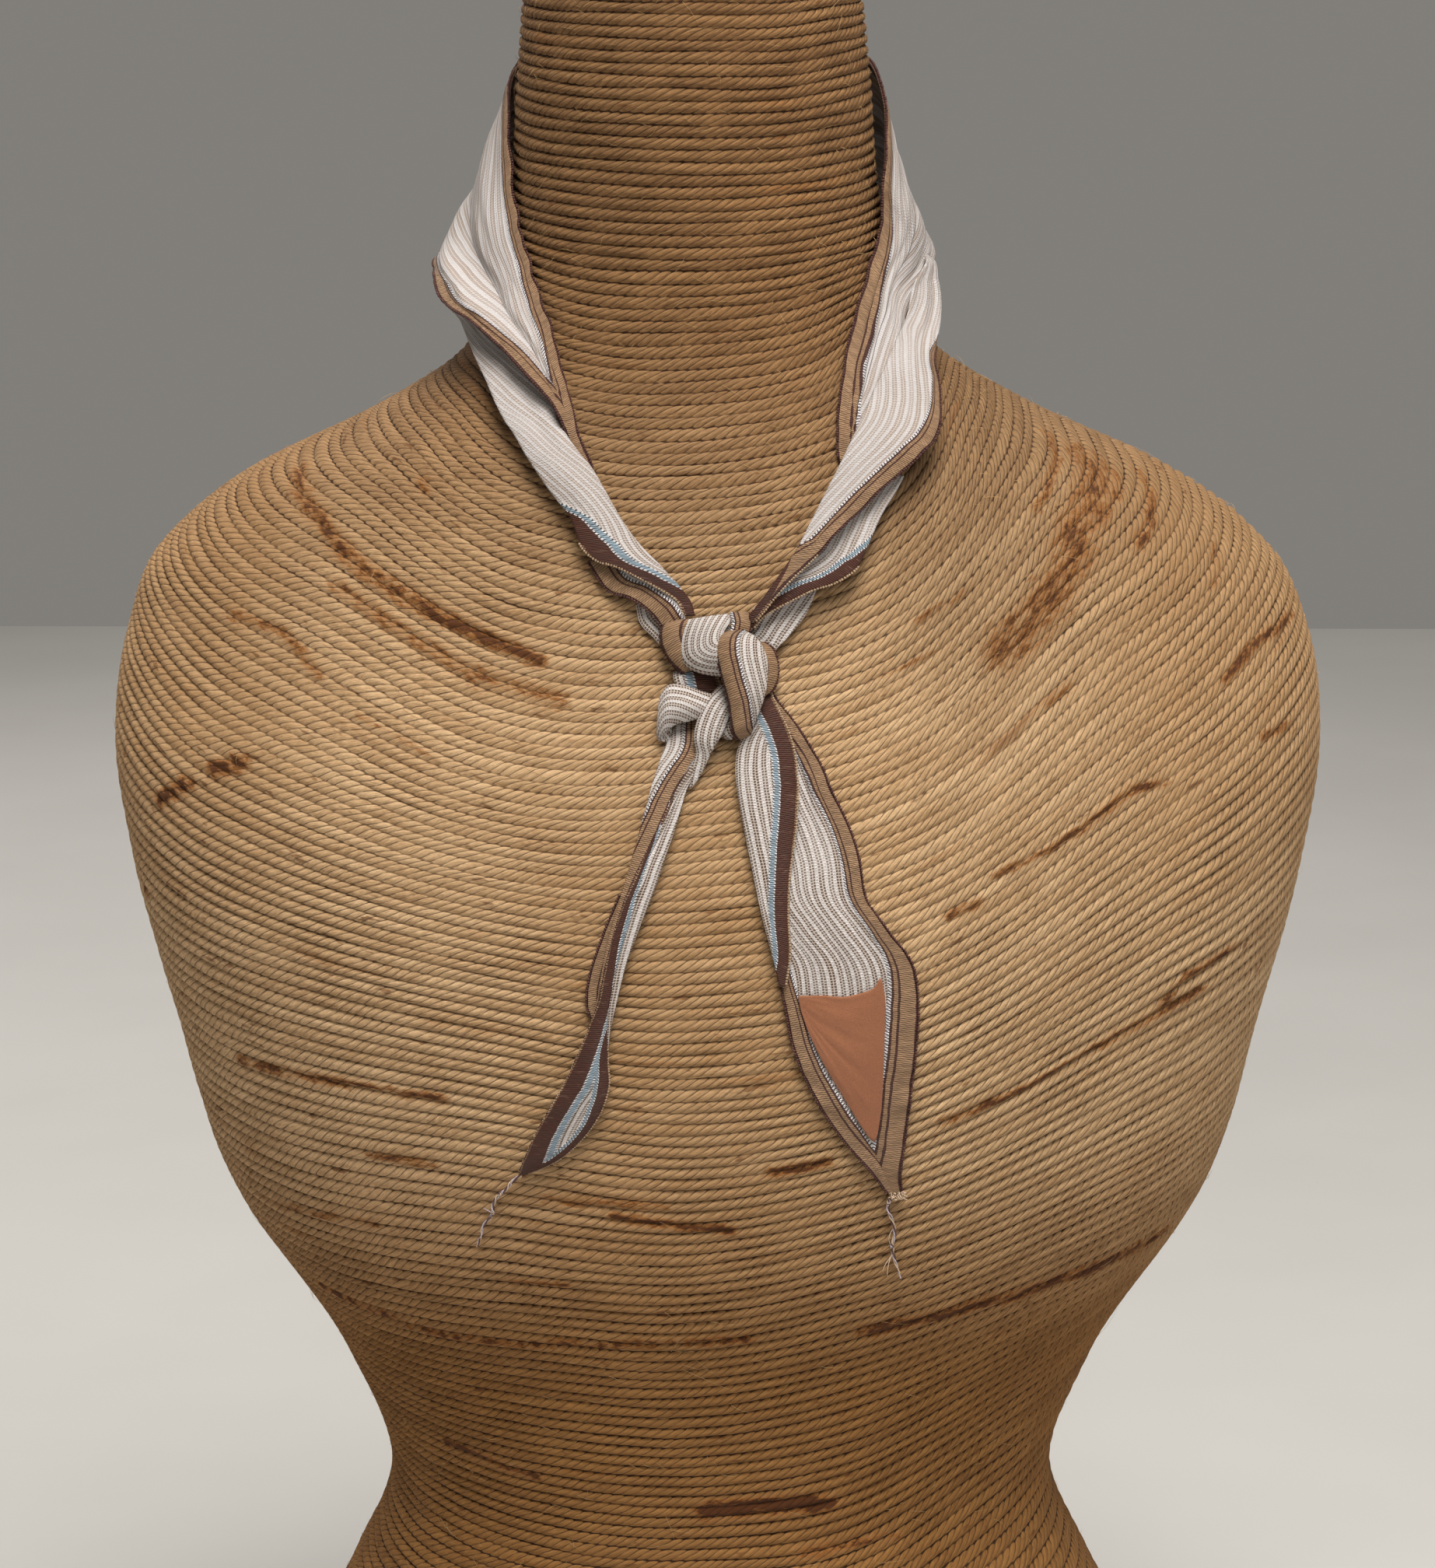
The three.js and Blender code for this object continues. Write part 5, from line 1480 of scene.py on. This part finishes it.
class Bench:
    """A node tree on the bench: each call adds a node and gives back its output."""

    def __init__(self, tree: NodeTree) -> None:
        """Starts on a tree."""
        self.tree = tree

    def feed(self, socket: NodeSocket, value: object) -> None:
        """Links a socket to a signal, or sets its number or colour."""
        if isinstance(value, Signal):
            self.tree.links.new(value.socket, socket)
        else:
            socket.default_value = (*value, 1.0) if isinstance(value, tuple) else value

    def node(self, kind: str, feeds: dict[int | str, object],
             **settings: object) -> bpy.types.Node:
        """Adds a node.

        Args:
            kind: the node's type.
            feeds: signals, numbers and colours for its inputs, by place or name.
            settings: its properties.

        Returns:
            The node.
        """
        made = self.tree.nodes.new(kind)
        for key, value in settings.items():
            setattr(made, key, value)
        for key, value in feeds.items():
            self.feed(made.inputs[key], value)
        return made

    def add(self, kind: str, feeds: dict[int | str, object], out: int | str = 0,
            **settings: object) -> Signal:
        """Adds a node and gives back one of its outputs."""
        return Signal(self, self.node(kind, feeds, **settings).outputs[out])

    def math(self, operation: str, *values: object) -> Signal:
        """A Math node."""
        return self.add("ShaderNodeMath", dict(enumerate(values)), operation=operation)

    def parts(self, kind: str, out: int | str = 0, **settings: object) -> tuple[Signal, ...]:
        """The three numbers of a vector that a new node gives."""
        vector = self.add(kind, {}, out, **settings)
        made = self.node("ShaderNodeSeparateXYZ", {0: vector})
        return tuple(Signal(self, socket) for socket in made.outputs)

    def mix(self, share: object, first: Signal | Colour, second: Signal | Colour) -> Signal:
        """A colour on the way from the first to the second, by a share from 0 to 1."""
        return self.add("ShaderNodeMix", {0: share, 6: first, 7: second}, 2, data_type="RGBA")

    def noise(self, place: Signal | tuple[object, ...], detail: float = 2, rough: float = 0.5,
              scale: float = 1) -> Signal:
        """Noise from 0 to 1 at a vector, or at a tuple of numbers."""
        if isinstance(place, tuple):
            place = self.add("ShaderNodeCombineXYZ", dict(enumerate(place)))
        return self.add("ShaderNodeTexNoise", {"Vector": place, "Scale": scale,
                                               "Detail": detail, "Roughness": rough})

    def chance(self, value: Signal) -> Signal:
        """One fixed chance value from 0 to 1 for each number."""
        return self.add("ShaderNodeTexWhiteNoise", {"W": value}, "Value",
                        noise_dimensions="1D")

    def bands(self, distance: Signal, stops: "Bands") -> Signal:
        """Flat bands of colour, each from its own distance to the next one's.

        Args:
            distance: millimetres from the edge.
            stops: the distance at which each band begins, and its colour.

        Returns:
            The colour.
        """
        made = self.node("ShaderNodeValToRGB", {0: distance / BAND_REACH})
        elements = made.color_ramp.elements
        made.color_ramp.interpolation = "CONSTANT"
        while len(elements) < len(stops):
            elements.new(1.0)
        for element, (start, colour) in zip(elements, stops):
            element.position, element.color = start / BAND_REACH, (*colour, 1.0)
        return Signal(self, made.outputs[0])

    def place(self, group: NodeTree, **values: Signal) -> dict[str, Signal]:
        """A node group fed with its own values: its outputs by name."""
        made = self.node("ShaderNodeGroup", {}, node_tree=group)
        for label, value in values.items():
            self.feed(made.inputs[label], value)
        return {socket.name: Signal(self, socket) for socket in made.outputs}


class Group(Bench):
    """A new node group, whose inputs and outputs are numbers."""

    def __init__(self, name: str, **inputs: float) -> None:
        """Makes the group's inputs, with their values."""
        super().__init__(bpy.data.node_groups.new(name, "ShaderNodeTree"))
        for label, value in inputs.items():
            self.new_socket(label, "INPUT").default_value = value
        entry = self.node("NodeGroupInput", {})
        self.inputs = [Signal(self, entry.outputs[label]) for label in inputs]

    def new_socket(self, label: str, way: str) -> bpy.types.NodeTreeInterfaceSocket:
        """A new number socket on the group's outside."""
        return self.tree.interface.new_socket(label, in_out=way, socket_type="NodeSocketFloat")

    def give(self, **outputs: Signal) -> NodeTree:
        """Makes and feeds the group's outputs, and gives back the finished group."""
        for label in outputs:
            self.new_socket(label, "OUTPUT")
        self.node("NodeGroupOutput", outputs)
        return self.tree


class Shader(Bench):
    """A new Principled material: constants are set once, and its looks are fed by nodes."""

    def __init__(self, name: str, rough: float, **values: float) -> None:
        """Makes the material.

        Args:
            name: its name.
            rough: its roughness.
            values: the shader's other inputs, named with _ for a space.
        """
        self.material = bpy.data.materials.new(name)
        self.material.use_nodes = True
        self.material.node_tree.nodes.clear()
        super().__init__(self.material.node_tree)
        feeds = {label.replace("_", " "): value for label, value in values.items()}
        self.shader = self.node("ShaderNodeBsdfPrincipled", {"Roughness": rough, **feeds})
        self.node("ShaderNodeOutputMaterial", {0: Signal(self, self.shader.outputs[0])})

    def finish(self, colour: Signal, height: Signal, depth: float) -> Material:
        """Feeds the shader.

        Args:
            colour: the colour.
            height: the relief, from 0 to 1.
            depth: what a relief of 1 stands for, in metres.

        Returns:
            The finished material.
        """
        bump = self.add("ShaderNodeBump", {"Strength": 1.0, "Distance": depth,
                                           "Height": height})
        self.feed(self.shader.inputs["Base Color"], colour)
        self.feed(self.shader.inputs["Normal"], bump)
        return self.material


# ---- twine, thread and plain finishes ----


def twist_group() -> NodeTree:
    """Twisted strands along a row: slanted lobes, |sin(pi (along / lay - lean f + chance))|.

    Returns:
        A group from Along in millimetres and Row in rows to Height, Groove, Valley,
        Streak, Hair, Tone and Strand.
    """
    b = Group("twisted_strands", Along=0, Row=0, Lay=3.6, Lean=1.8)
    along, row, lay, lean = b.inputs
    number, place = row.math("FLOOR"), row.math("FRACT")
    luck = b.chance(number)
    wander = b.noise((along * 0.03, number))
    phase = along / lay + luck * 17 + wander * 3 - place * lean
    lobe = phase.wave()
    streak = b.noise((along * 0.22, phase * 8.5, luck * 31), 5, 0.68)
    hair = b.noise((along * 0.45, phase * 13, luck * 71), 3, 0.7)
    gappy = b.noise((along * 0.3, number * 3.1))
    low = 1 - (place * 2 - 1).math("ABSOLUTE")
    rounded = lobe.math("POWER", 0.6) * low.ease(0, 0.4, 0.4, 1)
    # Groove and Valley mark where painted shade goes, between strands and between rows.
    return b.give(Height=rounded + streak * 0.75 + hair * 0.6,
                  Groove=1 - lobe.ease(0, 0.5, 1, 0) * gappy.ease(0.3, 0.66, 0.35, 1),
                  Valley=(low + (lobe - 0.5) * 0.22).ease(0, 0.30),
                  Streak=streak, Hair=hair, Tone=b.noise((along * 0.02, number * 1.7)),
                  Strand=b.chance(phase.math("FLOOR") + number * 57))


@dataclass(frozen=True)
class JuteTwine:
    """Rough jute: golden strands with rusty stains; painted shade darkens the grooves, the chest's
    sides and middle, and the neck and waist, whose twine is also browner.
    """

    pale: Colour = (0.93, 0.640, 0.365)
    deep: Colour = (0.47, 0.265, 0.115)
    # Painted shade, in part: the neck's dark tone, with the twine also browner there.
    neck: Colour = (0.125, 0.052, 0.015)
    # Painted shade on the chest's sides, shade and wear at its middle, and the neck's lighter
    # tone.
    wear_and_shade: Colour = (0.41, 0.208, 0.073)
    # Painted shade under the breast: the waist's two tones, with the twine also browner there.
    waist: Colour = (0.180, 0.070, 0.014)
    under: Colour = (0.50, 0.235, 0.058)
    # Painted shade in the grooves between strands and the valleys between rows.
    dark: Colour = (0.060, 0.024, 0.008)
    stain: Colour = (0.085, 0.024, 0.006)
    rust: Colour = (0.355, 0.135, 0.028)
    depth: float = 0.0009

    def make(self, twist: NodeTree) -> Material:
        """Builds the material: layers of colour, each laid over the ones before by its share.

        Args:
            twist: the group of twisted strands.

        Returns:
            The material.
        """
        b = Shader("jute_twine", 0.92, Specular_IOR_Level=0.2, Sheen_Weight=0.03,
                   Sheen_Roughness=0.6)
        at, row, _ = b.parts("ShaderNodeUVMap", uv_map="winding")
        right, _, up = b.parts("ShaderNodeTexCoord", "Object")
        along, aside = at * 10, right.math("ABSOLUTE")
        strand = b.place(twist, Along=along, Row=row, Lean=up.ease(0.46, 0.58, 1.7, 1.95))
        streak = strand["Streak"]
        share = (strand["Tone"].ease(0.32, 0.68) * 0.3 + streak.ease(0.3, 0.72) * 0.34
                 + strand["Strand"] * 0.14 + strand["Hair"].ease(0.32, 0.68, -0.22, 0.45))
        # Painted shade: high darkens the neck and low the waist under the breast, both also
        # browner twine.
        high, low = up.ease(0.44, 0.585, 0, 0.9), up.ease(0.235, 0.345, 0.95, 0)
        # Painted shade: middle darkens the chest's middle near the tails, partly wear, and sides
        # the chest's sides.
        middle = aside.ease(0.015, 0.08, 0.42, 0) * up.ease(0.47, 0.40)
        sides = aside.ease(0.105, 0.150, 0, 0.42) * up.ease(0.375, 0.435, 0.1, 1)
        marks = b.noise((along * 0.011, row * 0.42), 4, 0.62)
        flecks = b.noise((along * 0.075, row * 1.1, 7.3), 3, 0.6)
        uneven = b.noise((along * 0.04, row * 0.7), 3, 0.6)
        stained = b.add("ShaderNodeAttribute", {}, "Fac", attribute_name="stain")
        patchy = stained + (b.noise((along * 0.14, row * 1.4), 4, 0.7) - 0.5) * 1.9
        rusty = patchy.ease(0.24, 0.56) * stained.ease(0.02, 0.2)
        # Painted shade in the valleys between rows, deeper on the neck and the waist.
        hollow = strand["Valley"].ease(0, 1, 1, 0) * (high.math("MAXIMUM", low) * 0.52 + 0.5)
        colour = b.mix(share, self.deep, self.pale)
        for amount, layer in (
                (high, b.mix(share, self.neck, self.wear_and_shade)),
                (low, b.mix(share, self.waist, self.under)),
                (middle + sides, self.wear_and_shade),
                (marks.ease(0.60, 0.74) * 0.55, self.rust),
                (marks.ease(0.69, 0.78) * 0.6, self.stain),
                (flecks.ease(0.645, 0.73) * 0.7, b.mix(0.35, self.stain, self.rust)),
                (stained.ease(0.04, 0.4) * 0.5, b.mix(share, self.rust, self.deep)),
                (rusty * streak.ease(0.3, 0.6, 0.62, 0.9), self.rust),
                (patchy.ease(0.46, 0.76) * 0.88, self.stain),
                # Painted shade: the grooves between strands, then the valleys between rows.
                (strand["Groove"].ease(0, 1, 0.62, 0), self.dark),
                (hollow * uneven.ease(0.38, 0.66, 0.72, 1.5), self.dark)):
            colour = b.mix(amount, colour, layer)
        return b.finish(colour, strand["Height"], self.depth)


@dataclass(frozen=True)
class PlainFibre:
    """A plain fibrous finish whose tone changes softly, for small pieces and undersides."""

    name: str
    light: Colour = (0.62, 0.42, 0.20)
    shade: Colour = (0.42, 0.25, 0.10)
    rough: float = 0.9
    grain: float = 900.0
    depth: float = 0.0002

    def make(self) -> Material:
        """Builds the material."""
        b = Shader(self.name, self.rough, Specular_IOR_Level=0.3)
        grain = b.noise(b.add("ShaderNodeTexCoord", {}, "Object"), 3, 0.6, self.grain)
        return b.finish(b.mix(grain.ease(0.3, 0.7), self.shade, self.light), grain, self.depth)


# ---- cloth and label finishes ----


def ladder_group() -> NodeTree:
    """Woven stripes: three columns of small holes to a stripe, one of them in a white band.

    Returns:
        A group from Across and Along in millimetres to Rail, Rung, Height and Tone.
    """
    b = Group("woven_ladder", Across=0, Along=0, Pitch=2.6, Rungs=0.86)
    across, along, pitch, rungs = b.inputs
    drift = b.noise((across * 0.12, along * 0.045))
    fuzz = b.noise((across * 2.4, along * 1.1), 3, 0.6)
    across = across + drift * 1.5 + fuzz * 0.2
    place = across / pitch
    cell = place * 3
    inside = (cell.math("FRACT") - 0.5).math("ABSOLUTE")
    stripe = ((place + 1 / 3).math("FRACT") - 0.5).math("ABSOLUTE")
    white = stripe.ease(0.13, 0.24, 1, 0)
    luck = b.chance(cell.math("FLOOR"))
    slant = along / rungs + (across * 0.25 + luck * 7) + fuzz * 0.35
    hole = (slant.wave().ease(0.35, 0.78) * inside.ease(0.26, 0.44, 1, 0)
            * fuzz.ease(0.25, 0.6, 0.6, 1))
    plies = white * (along * 2).wave()
    return b.give(Rail=white.math("MAXIMUM", inside.ease(0.36, 0.5, 0, 0.55)),
                  Rung=hole * (1 - white * 0.72),
                  Height=plies * 0.3 + 0.6 - hole * 0.6 + fuzz * 0.2,
                  Tone=b.noise((place.math("FLOOR") * 0.9, along * 0.03)))


def overlock_group() -> NodeTree:
    """Overlock stitches: satin threads square to the edge, looped lines and a wavering edge.

    Returns:
        A group from Edge and Along in millimetres to the wavering Edge, Satin, Loops and Wear.
    """
    b = Group("overlock_stitches", Edge=0, Along=0, Thread=0.62, Loop=0.98)
    edge, along, thread, loop = b.inputs
    slow = b.noise((along * 0.16, 3.7))
    fine = b.noise((along * 1.6, edge * 0.5))
    satin = ((along + edge * 0.12 + slow * 0.8) / thread).wave()
    return b.give(Edge=edge + (slow - 0.5) * 0.9 + (fine - 0.5) * 0.35,
                  Satin=satin.math("POWER", 0.7),
                  Loops=((along + edge * 0.5) / loop).wave(),
                  Wear=b.noise((along * 1.1, edge * 0.16), 3, 0.6))


TAN: Colour = (0.37, 0.225, 0.125)
TAN_DEEP: Colour = (0.30, 0.178, 0.097)
BROWN: Colour = (0.074, 0.023, 0.014)
BROWN_DEEP: Colour = (0.034, 0.012, 0.009)
PLUM: Colour = (0.045, 0.013, 0.016)
BLUE: Colour = (0.32, 0.42, 0.50)
BLUE_DEEP: Colour = (0.20, 0.28, 0.345)
PEARL: Colour = (0.78, 0.79, 0.82)

Bands = tuple[tuple[float, Colour], ...]
BAND_REACH = 12.0
FRONT_BANDS = ((0, BROWN), (6.5, BROWN_DEEP), (7.2, BLUE_DEEP), (9, BROWN_DEEP))
FRONT_LOOPS = ((0, TAN), (0.6, BROWN), (6.5, PEARL), (7.2, BLUE), (9, PEARL))
REVERSE_BANDS = ((0, PLUM), (0.8, TAN_DEEP), (6, PLUM), (6.8, TAN_DEEP), (8.3, PLUM), (9.2, BROWN))
REVERSE_LOOPS = ((0, BROWN), (0.8, TAN), (6, BROWN), (6.8, TAN), (8.3, BROWN), (9.2, PEARL))


@dataclass(frozen=True)
class StripedCloth:
    """One face of the strip: overlocked bands at its edges and woven stripes between them.

    The bands are given by their distances from the edge, once for the thread and once for the
    loops that stand on it; the woven cloth is nearer its edge on the front than on the reverse.
    """

    name: str
    bands: Bands
    loops: Bands
    cloth_from: float = BAND_WIDTH
    white: Colour = (0.72, 0.675, 0.655)
    cream: Colour = (0.42, 0.345, 0.295)
    dash: Colour = (0.080, 0.047, 0.030)
    # Painted shade: the white painted greyer at the collar near the neck.
    collar: Colour = (0.590, 0.560, 0.560)
    # Painted shade between the satin threads of the bands.
    groove: Colour = (0.02, 0.012, 0.009)
    soiled: Colour = (0.06, 0.04, 0.03)
    rubbed: Colour = (0.5, 0.39, 0.29)
    depth: float = 0.00035

    def make(self, ladder: NodeTree,
             overlock: NodeTree) -> Material:
        """Builds the material.

        Args:
            ladder: the group of woven stripes.
            overlock: the group of overlock stitches.

        Returns:
            The material.
        """
        b = Shader(self.name, 0.82, Specular_IOR_Level=0.2, Sheen_Weight=0.05,
                   Sheen_Roughness=0.5)
        across, along, _ = (part * 10 for part in b.parts("ShaderNodeUVMap", uv_map="weave"))
        edge = b.parts("ShaderNodeUVMap", uv_map="edging")[0] * 10
        # Painted shade: high is the collar near the neck, where the white turns greyer and the
        # dashes fade.
        high = b.parts("ShaderNodeTexCoord", "Object")[2].ease(0.485, 0.535)
        woven = b.place(ladder, Across=across, Along=along)
        seam = b.place(overlock, Edge=edge, Along=along)
        tone, edge, satin, loops, wear = (woven["Tone"], *seam.values())
        white = b.mix(high, self.white, self.collar)
        cloth = b.mix(tone.ease(0.3, 0.7, 0, 0.45) + high * 0.12, self.cream, white)
        cloth = b.mix(woven["Rail"], cloth, white)
        dashed = woven["Rung"] * tone.ease(0.35, 0.75, 1, 0.7) * (1 - high * 0.6)
        cloth = b.mix(dashed, cloth, self.dash)
        band = b.mix(loops.ease(0.35, 0.75), b.bands(edge, self.bands),
                     b.bands(edge, self.loops))
        # Painted shade between satin threads, then soiled and rubbed patches.
        for amount, layer in ((satin.ease(0, 0.75, 0.62, 0), self.groove),
                              (wear.ease(0.35, 0.62, 0.38, 0), self.soiled),
                              (wear.ease(0.54, 0.8, 0, 0.22), self.rubbed)):
            band = b.mix(amount, band, layer)
        inside = edge.ease(self.cloth_from - 0.12, self.cloth_from + 0.12)
        b.feed(b.shader.inputs["Roughness"], inside * 0.33 + 0.55)
        relief = woven["Height"] * inside + (satin * 0.75 + loops * 0.25) * (1 - inside)
        return b.finish(b.mix(inside, band, cloth), relief, self.depth)


@dataclass(frozen=True)
class SuedeLabel:
    """Plain suede: a short nap with soft blotches, paler where it is rubbed."""

    tan: Colour = (0.320, 0.126, 0.060)
    deep: Colour = (0.235, 0.086, 0.038)
    nap: float = 2600.0
    blotches: float = 60.0
    depth: float = 0.00012

    def make(self) -> Material:
        """Builds the material."""
        b = Shader("bare_suede", 0.8, Specular_IOR_Level=0.3, Sheen_Weight=0.3)
        place = b.add("ShaderNodeTexCoord", {}, "Object")
        nap, cloud = b.noise(place, 3, 0.7, self.nap), b.noise(place, 1, 0.5, self.blotches)
        share = nap.ease(0.3, 0.7) * 0.75 + cloud.ease(0.2, 0.8) * 0.25
        return b.finish(b.mix(share, self.deep, self.tan), nap, self.depth)


# ---- camera, light and floor ----


def stand(data: bpy.types.ID, place: Array, right: Array, back: Array) -> Object:
    """Puts a camera or a lamp in the scene.

    Args:
        data: its data.
        place: its place in metres.
        right: its own right, a unit vector.
        back: the way that it faces away from, square to the right.

    Returns:
        The new object.
    """
    axes = np.stack([right, np.cross(back, right), back, place], 1)
    made = bpy.data.objects.new(data.name, data)
    made.matrix_world = Matrix([*axes.tolist(), [0, 0, 0, 1]])
    bpy.context.scene.collection.objects.link(made)
    return made


@dataclass(frozen=True)
class Studio:
    """A camera at the wearer's breast height, soft light from windows, and a pale floor."""

    target: tuple[float, float, float] = (3.4, -60.0, 430.0)
    distance: float = 1350.0
    azimuth: float = 3.0
    elevation: float = 11.0
    roll: float = -0.35
    lens: float = 107.3
    lit: tuple[float, float, float] = (0, 0, 0.45)
    room: tuple[float, float, float, float] = (0.88, 0.84, 0.78, 1)
    room_strength: float = 0.25
    floor_reach: float = 3000.0
    floor_drop: float = 0.2

    def camera(self) -> None:
        """Adds the camera: it looks at the target from the distance, turned by its angles."""
        az, el, roll = np.radians([self.azimuth, self.elevation, self.roll])
        back = np.array([np.sin(az) * np.cos(el), -np.cos(az) * np.cos(el), np.sin(el)])
        level = unit(np.cross([0, 0, 1.0], back))
        right = level * np.cos(roll) + np.cross(back, level) * np.sin(roll)
        data = bpy.data.cameras.new("breast_height")
        data.lens, data.sensor_width, data.sensor_fit = self.lens, 36.0, "HORIZONTAL"
        data.clip_start = 0.05
        place = (np.array(self.target) + self.distance * back) * MM
        bpy.context.scene.camera = stand(data, place, right, back)

    def lamp(self, name: str, place: Sequence[float], size: float, power: float,
             colour: Colour) -> None:
        """Adds a square area light that faces the breast.

        Args:
            name: the lamp's name.
            place: its place in metres.
            size: its side in metres.
            power: its power in watts.
            colour: its colour.
        """
        data = bpy.data.lights.new(name, "AREA")
        data.size, data.energy, data.color = size, power, colour
        back = unit(np.array(place) - np.array(self.lit))
        stand(data, np.array(place), unit(np.cross([0, 0, 1.0], back)), back)

    def light(self) -> None:
        """Adds the lamps and the even light of the room."""
        self.lamp("window", (0.25, -1.15, 2.6), 1.2, 88.0, (1.0, 0.965, 0.915))
        self.lamp("fill", (1.9, -1.8, 1.3), 1.8, 8.0, (1.0, 0.98, 0.96))
        self.lamp("back_window", (-0.9, 1.9, 1.9), 1.8, 20.0, (1.0, 0.97, 0.93))
        world = bpy.data.worlds.new("room")
        world.use_nodes = True
        back = world.node_tree.nodes["Background"]
        back.inputs[0].default_value, back.inputs[1].default_value = self.room, self.room_strength
        bpy.context.scene.world = world
        bpy.context.scene.view_settings.view_transform = "Standard"

    def floor(self) -> None:
        """Adds a plain pale floor under the form."""
        reach = np.linspace(-self.floor_reach, self.floor_reach, 3)
        i, j = np.meshgrid(reach, reach, indexing="ij")
        points = np.stack([i, j, np.full(i.shape, -self.floor_drop)], -1).reshape(-1, 3)
        made = make_mesh("floor", points, [grid_quads(3, 3)])
        made.data.materials.append(
            PlainFibre("pale_floor", (0.60, 0.59, 0.57), (0.57, 0.56, 0.54), 0.8, 3.0).make())


THREAD_GRAIN = 2500.0


def main() -> None:
    """Builds the part, from the camera and cords to the form and the scarf."""
    logging.basicConfig(level=logging.INFO, format="%(name)s %(message)s")
    studio, form = Studio(), DressForm()
    studio.camera()
    ThreadChains(form).build(*(PlainFibre(f"{name}_thread", light, shade, 0.6,
                                          THREAD_GRAIN).make() for name, light, shade in (
        ("dark", (0.17, 0.09, 0.075), (0.07, 0.03, 0.027)),
        ("cream", (0.75, 0.58, 0.42), (0.50, 0.36, 0.25)),
        ("violet", (0.62, 0.56, 0.62), (0.36, 0.29, 0.33)))))
    winding = TwineWinding(form)
    jute = JuteTwine().make(twist_group())
    ladder, overlock = ladder_group(), overlock_group()
    under = PlainFibre("underside_board", (0.20, 0.10, 0.04), (0.12, 0.055, 0.02)).make()
    pieces = winding.build()
    for piece in pieces:
        dress(piece, "jute_winding", jute, under)
    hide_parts("form_body")
    dress(winding.build_fibres(), "jute_winding", PlainFibre("jute_fibre").make())
    finishes = Finishes(
        StripedCloth("cotton_front", FRONT_BANDS, FRONT_LOOPS, 9.7).make(ladder, overlock),
        StripedCloth("cotton_reverse", REVERSE_BANDS, REVERSE_LOOPS).make(ladder, overlock),
        SuedeLabel().make())
    stitches = EdgeStitches()
    for part in (NeckBand(), FrontStretches(), Knot(), Tails()):
        for surface in part.build(form, finishes):
            stitches.follow(surface)
    stitches.build(
        PlainFibre("tan_stitch", (0.44, 0.32, 0.215), (0.28, 0.185, 0.115), 0.7).make(),
        PlainFibre("dark_stitch", (0.12, 0.05, 0.042), (0.04, 0.014, 0.012), 0.7).make())
    studio.light()
    studio.floor()


if __name__ == "__main__":
    main()
